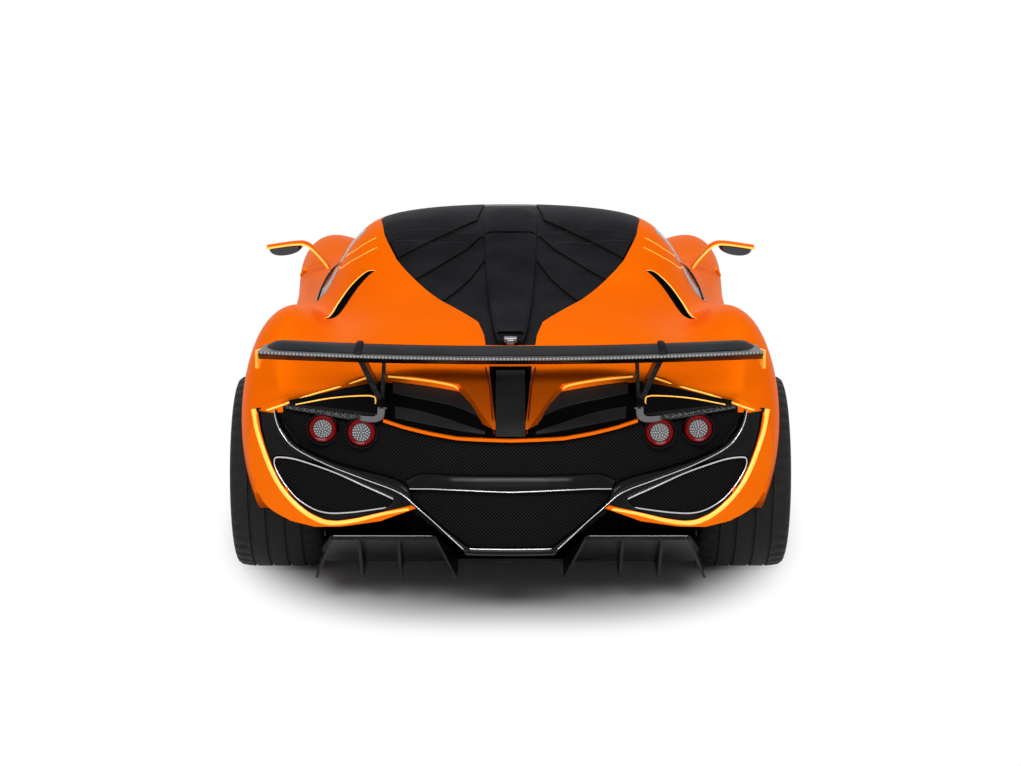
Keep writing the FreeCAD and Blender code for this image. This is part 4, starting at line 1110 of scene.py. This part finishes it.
# Raised spine on the roof and the engine cover as along and half width, its tail bracket, and the hinge
SPINE_ROOF = [(-0.060, 0.045), (-0.090, 0.090), (-0.150, 0.104), (-0.300, 0.104), (-0.462, 0.101)]
SPINE_COVER = [(-0.478, 0.101), (-0.732, 0.093), (-1.152, 0.077), (-1.533, 0.056), (-1.580, 0.050)]
SPINE_RISE = 0.010
SPINE_CELLS = 16
BRACKET = ((-1.690, -0.024, 0.915), (-1.650, 0.024, 0.935), 0.004)
BRACKET_TONGUE = ((-1.700, -0.014, 0.905), (-1.688, 0.014, 0.930), 0.003)
HINGE_X = -0.4725
HINGE_REACH = 0.035


# Height of the panels, bridged across the hinge barrels
def panel_height(tree, x, y):
    def probe(at):
        return tree.ray_cast(Vector((at, y, 3)), DOWN)[0].z

    if abs(x - HINGE_X) >= HINGE_REACH:
        return probe(x)
    share = (x - HINGE_X + HINGE_REACH) / (2 * HINGE_REACH)
    return probe(HINGE_X - HINGE_REACH) * (1 - share) + probe(HINGE_X + HINGE_REACH) * share


def spine_piece(name, plan, body, tree):
    rows = []
    for p in smooth([(x, y, 0) for x, y in plan], 50):
        row = []
        for k in range(SPINE_CELLS + 1):
            share = -1 + 2 * k / SPINE_CELLS
            rise = SPINE_RISE * (1 - abs(share) ** 8) ** 0.5 - 0.0005
            row.append(Vector((p.x, p.y * share, panel_height(tree, p.x, p.y * share) + rise)))
        rows.append(row)
    bm = bmesh.new()
    add_grid(bm, rows)
    finish_piece(name, bm, BLACK, body, 45)


def spine():
    tree = surface_of("roof_panel", "engine_cover")
    spine_piece("roof_spine", SPINE_ROOF, "chassis", tree)
    spine_piece("cover_spine", SPINE_COVER, "engine_cover", tree)
    bm = bmesh.new()
    add_box(bm, *BRACKET)
    add_box(bm, *BRACKET_TONGUE)
    finish_piece("tail_bracket", bm, SMOKE)


# Seats: woven shells with crowned leather pads and sewn channels
SEAT_Y = 0.300
PAD_STEPS = 40
CROWN = 0.35
CHANNEL_DEPTH = 0.010
CHANNEL_WIDE = 0.035
SIDE_SEAM_AT = 0.80
SIDE_SEAM_DEPTH = 0.004
SIDE_SEAM_WIDE = 0.03
UNDERSIDE = 0.012
SHELL_HALF = 0.238
SHELL_CURL = 0.035
SHELL_PROFILE = [(0.372, 0.165), (0.378, 0.292), (0.330, 0.322), (-0.020, 0.262), (-0.065, 0.292),
                 (-0.340, 0.825), (-0.392, 0.838), (-0.412, 0.800), (-0.205, 0.165)]


# Pads: centre, lengthwise half as an arrow, half width, thickness, places of the channels, and leather
SEAT_PADS = {
    "cushion_%s": ((0.150, 0, 0.305), (0.185, 0, 0.035), 0.170, 0.055, (-0.5, 0.0, 0.5), LEATHER),
    "back_%s": ((-0.175, 0, 0.560), (-0.118, 0, 0.225), 0.165, 0.050, (-0.6, -0.2, 0.2, 0.6), LEATHER),
    "head_%s": ((-0.318, 0, 0.795), (-0.022, 0, 0.055), 0.105, 0.040, (), LEATHER),
    "bolster_%s_2": ((-0.150, 0.200, 0.570), (-0.112, 0, 0.215), 0.034, 0.085, (), PIPING),
    "thigh_%s_2": ((0.150, 0.203, 0.312), (0.180, 0, 0.034), 0.032, 0.080, (), PIPING),
    "bolster_%s_1": ((-0.150, -0.200, 0.570), (-0.112, 0, 0.215), 0.034, 0.085, (), PIPING),
    "thigh_%s_1": ((0.150, -0.203, 0.312), (0.180, 0, 0.034), 0.032, 0.080, (), PIPING),
}


# Crowned pad about a centre, with its half sizes as two arrows and its sides pulled in
def pad(name, centre, u_half, v_half, thick, channels, mat):
    normal = u_half.cross(v_half).normalized()
    top, bottom = [], []
    for i in range(PAD_STEPS + 1):
        u = -1 + 2 * i / PAD_STEPS
        row, under = [], []
        for j in range(PAD_STEPS + 1):
            v = -1 + 2 * j / PAD_STEPS
            pull = 1 - 0.035 * (1 - u * u) if abs(v) > 0.98 else 1.0
            rise = (1 - abs(u) ** 5) ** 0.5 * (1 - abs(v) ** 5) ** 0.5
            swell = 1 - CROWN * (u * u + v * v) * 0.5
            seam = sum(CHANNEL_DEPTH * math.exp(-((u - at) / CHANNEL_WIDE) ** 2) for at in channels)
            seam += SIDE_SEAM_DEPTH * math.exp(-((abs(v) - SIDE_SEAM_AT) / SIDE_SEAM_WIDE) ** 2)
            place = centre + u_half * u * (1 - 0.03 * (1 - v * v))
            place += v_half * v * pull * (1 - 0.02 * (1 - u * u))
            row.append(place + normal * max(0.0, thick * rise * swell - seam * rise))
            under.append(place - normal * UNDERSIDE * rise)
        top.append(row)
        bottom.append(under)
    bm = bmesh.new()
    add_grid(bm, top)
    add_grid(bm, bottom)
    bmesh.ops.remove_doubles(bm, verts=bm.verts, dist=1e-4)
    piece = finish_piece(name, bm, mat, angle=80)
    modifier = piece.modifiers.new("soften", "SUBSURF")
    modifier.levels = 1
    modifier.render_levels = 1


def seat_pads(name, seat_y):
    for label, ((x, y, z), u_half, wide, thick, channels, mat) in SEAT_PADS.items():
        pad("seat_" + label % name, Vector((x, seat_y + y, z)), Vector(u_half), Vector((0, wide, 0)), thick,
            channels, mat)


# Shells that curl forwards and upwards at their sides
def seats():
    bm = bmesh.new()
    for side, name in SIDES:
        seat_pads(name, side * SEAT_Y)
        rings = []
        for k in range(25):
            share = -1 + 2 * k / 24
            y = side * SEAT_Y + SHELL_HALF * share
            curl = SHELL_CURL * abs(share) ** 4
            rings.append([Vector((x + (curl if x < 0 else 0), y, z + (curl if x > 0 and z > 0.25 else 0)))
                          for x, z in SHELL_PROFILE])
        add_span(bm, rings)
    shell = finish_piece("seat_shells", bm, CARBON, angle=35)
    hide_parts("seats")


# Cabin: console with a selector, screens, air vents, pedals, and the steering wheel's grip and boss
CONSOLE = ((-0.420, -0.052, 0.164), (0.560, 0.052, 0.330), 0.012)
SELECTOR = ((0.100, -0.030, 0.330), (0.240, 0.030, 0.352), 0.006)
KNOB_AT = (0.320, 0, 0.330)
KNOB_PROFILE = [(0.022, 0), (0.022, 0.014), (0.018, 0.018), (0.0005, 0.018)]
CENTRE_SCREEN = ((0.566, -0.130, 0.706), (0.578, 0.130, 0.790), 0.004)
DRIVER_SCREEN = ((0.600, 0.190, 0.795), (0.640, 0.410, 0.830), 0.008)
VENT_YS = (-0.480, -0.210, 0.210, 0.480)
VENT_RING = [(0.036, -0.004), (0.036, 0.004), (0.031, 0.007), (0.027, 0.003), (0.026, -0.004)]
PEDAL_YS = (0.230, 0.300, 0.370)
COLUMN_TILT = math.radians(22)
WHEEL_HUB = Vector((0.455, 0.300, 0.700))
WHEEL_R = 0.170
GRIP_R = 0.0165
BOSS_PROFILE = [(0.050, -0.010), (0.052, 0.006), (0.040, 0.016), (0.0005, 0.020)]


def console_and_screens():
    bm = bmesh.new()
    add_box(bm, *CONSOLE)
    add_box(bm, *SELECTOR)
    add_lathe(bm, KNOB_PROFILE, KNOB_AT, UP, 32)
    finish_piece("centre_console", bm, TRIM)
    bm = bmesh.new()
    add_box(bm, *CENTRE_SCREEN)
    add_box(bm, *DRIVER_SCREEN)
    finish_piece("dash_screens", bm, GLOSS_BLACK)


def air_vents():
    bm = bmesh.new()
    for y in VENT_YS:
        add_lathe(bm, VENT_RING, (0.574, y, 0.735), (-0.9, 0, 0.3), 40)
        for step in (-0.012, 0.0, 0.012):
            add_box(bm, (0.570, y - 0.024, 0.734 + step), (0.580, y + 0.024, 0.736 + step))
    finish_piece("air_vents", bm, SMOKE)


def pedals():
    bm = bmesh.new()
    for y in PEDAL_YS:
        add_box(bm, (0.800, y - 0.022, 0.230), (0.812, y + 0.022, 0.330), 0.004)
        add_tube(bm, [Vector((0.810, y, 0.330)), Vector((0.870, y, 0.420))], 0.006)
    finish_piece("pedals", bm, STEEL)


def wheel_grip():
    upright = Vector((math.sin(COLUMN_TILT), 0, math.cos(COLUMN_TILT)))
    towards_driver = Vector((-math.cos(COLUMN_TILT), 0, math.sin(COLUMN_TILT)))
    ring = []
    for k in range(72):
        turn = 2 * math.pi * k / 72
        ring.append(WHEEL_HUB + Vector((0, math.cos(turn), 0)) * WHEEL_R + upright * math.sin(turn) * WHEEL_R)
    tubes("wheel_grip", [ring], GRIP_R, PIPING, "steering_wheel", sides=14, closed=True)
    bm = bmesh.new()
    add_lathe(bm, BOSS_PROFILE, WHEEL_HUB, towards_driver)
    finish_piece("wheel_boss", bm, TRIM, "steering_wheel", 60)


# Head lamps: three projectors and a light blade under each clear cover
PROJECTOR = [(0.019, -0.020), (0.019, 0.002), (0.015, 0.004), (0.013, 0.000), (0.006, 0.005), (0.0005, 0.006)]
PROJECTOR_LINE = [(1.940, 0.640), (1.900, 0.690), (1.862, 0.745), (1.830, 0.800)]
BLADE_LINE = [(1.955, 0.625), (1.925, 0.700), (1.880, 0.765), (1.815, 0.835)]


def head_lamps():
    tree = surface_of("headlamps")
    tubes("day_light_blades", mirrored(dropped(BLADE_LINE, tree, -0.006, 24)), 0.0035, DAYLIGHT)
    places = dropped(PROJECTOR_LINE, tree, -0.010, 24)
    bm = bmesh.new()
    for index in (4, 12, 19):
        place = places[index]
        for side, _ in SIDES:
            at = Vector((place.x, side * place.y, place.z))
            add_lathe(bm, PROJECTOR, at, (0.6, side * 0.25, 0.76), 32)
    finish_piece("lamp_projectors", bm, SILVER, angle=50)


# Wipers parked at the foot of the windscreen: along and across
WIPER_BLADES = [[(0.940, 0.420), (0.962, 0.200), (0.972, -0.060)],
                [(0.955, -0.060), (0.950, -0.250), (0.925, -0.450)]]
WIPER_ARMS = [[(1.030, 0.180), (0.990, 0.190), (0.958, 0.215)],
              [(1.030, -0.220), (0.990, -0.230), (0.950, -0.245)]]


def wipers():
    tree = surface_of("windscreen", "cowl_panel")
    tubes("wiper_blades", [dropped(line, tree, 0.006, 30) for line in WIPER_BLADES], 0.005, TRIM, flat=0.7)
    tubes("wiper_arms", [dropped(line, tree, 0.014, 12) for line in WIPER_ARMS], 0.006, TRIM, flat=0.6)


# Flush door handles and the seals under the side glass: along and up
HANDLE_LINE = [(-0.250, 0.705), (-0.330, 0.712), (-0.410, 0.722)]
SEAL_LINE = [(0.610, 0.810), (0.300, 0.815), (0.0, 0.820), (-0.420, 0.826)]


# Side view line laid on one flank of a surface
def on_flank(line, tree, side, lift, count):
    path = draped([(x, 0, z) for x, z in line], tree, Vector((0, -side, 0)), lift, count)
    return [p for p in path if p.y * side > 0]


def door_trims():
    for side, name in SIDES:
        body = "door_" + name
        tree = surface_of("door_" + name, "door_glass_" + name)
        tubes("door_handle_" + name, [on_flank(HANDLE_LINE, tree, side, 0.003, 24)],
              lambda t: 0.003 + 0.007 * math.sin(math.pi * t), GLOSS_BLACK, body, sides=10, flat=0.5,
              lean=(0, 1, 0))
        seal = [(x * 0.985, z + 0.006) for x, z in SEAL_LINE]
        glass = surface_of("door_glass_" + name)
        tubes("window_seal_" + name, [on_flank(seal, glass, side, 0.001, 50)], 0.004, TRIM, body)


# Fine silver edges on the diffuser tunnels: the roof, the outer wall and the inner wall
TUNNEL_X = -2.130
TUNNEL_Z = 0.334
WALL_END_X = -1.960
WALL_END_Z = 0.150


def diffuser_edges():
    roof = [Vector((TUNNEL_X, y, TUNNEL_Z)) for y in (0.270, 0.440, 0.606)]
    walls = [[Vector((TUNNEL_X, top, TUNNEL_Z)), Vector((WALL_END_X, foot, WALL_END_Z))]
             for top, foot in ((0.606, 0.672), (0.266, 0.196))]
    tubes("diffuser_edges", mirrored(roof, *walls), 0.0022, SMOKE, sides=6)


# Dampers with coil springs: axle, across at the top and the foot, height of the top
DAMPERS = [(FRONT_AXLE, 0.520, 0.700, 0.590), (REAR_AXLE, 0.500, 0.640, 0.700)]
DAMPER_R = 0.014
DAMPER_AHEAD = 0.060
DAMPER_FOOT = -0.120
COIL_R = 0.034
COIL_FROM = 0.30
COIL_SHARE = 0.60
WIRE_R = 0.005
COIL_TURNS = 7
COIL_STEPS = 160


def suspension():
    bm = bmesh.new()
    for axle, y_top, y_foot, top in DAMPERS:
        for side, _ in SIDES:
            x = axle.x + DAMPER_AHEAD
            foot = Vector((x, side * y_foot, axle.z + DAMPER_FOOT))
            head = Vector((x, side * y_top, top))
            add_tube(bm, [foot, head], DAMPER_R, 12)
            axis = (head - foot).normalized()
            u = axis.orthogonal().normalized()
            v = axis.cross(u)
            coil = []
            for k in range(COIL_STEPS):
                t = k / (COIL_STEPS - 1)
                turn = 2 * math.pi * COIL_TURNS * t
                ray = u * math.cos(turn) + v * math.sin(turn)
                coil.append(foot.lerp(head, COIL_FROM + COIL_SHARE * t) + ray * COIL_R)
            add_tube(bm, coil, WIRE_R, 6)
    finish_piece("spring_dampers", bm, TRIM, angle=50)


for make in (tail_highlight_lines, bumper_corners, centre_band, tail_frames, tail_arms, tail_lamps, lamp_shelf_trims,
             vent_plates, main_plane, wing_flap, wing_fittings, mirrors, tyres, wheel_liners, rim_details,
             roof_lines, buttress_shade_sheets, spine, seats, console_and_screens, air_vents, pedals, wheel_grip, head_lamps,
             wipers, door_trims, diffuser_edges, suspension, dress_nodes, backdrop, world, lights, camera):
    make()
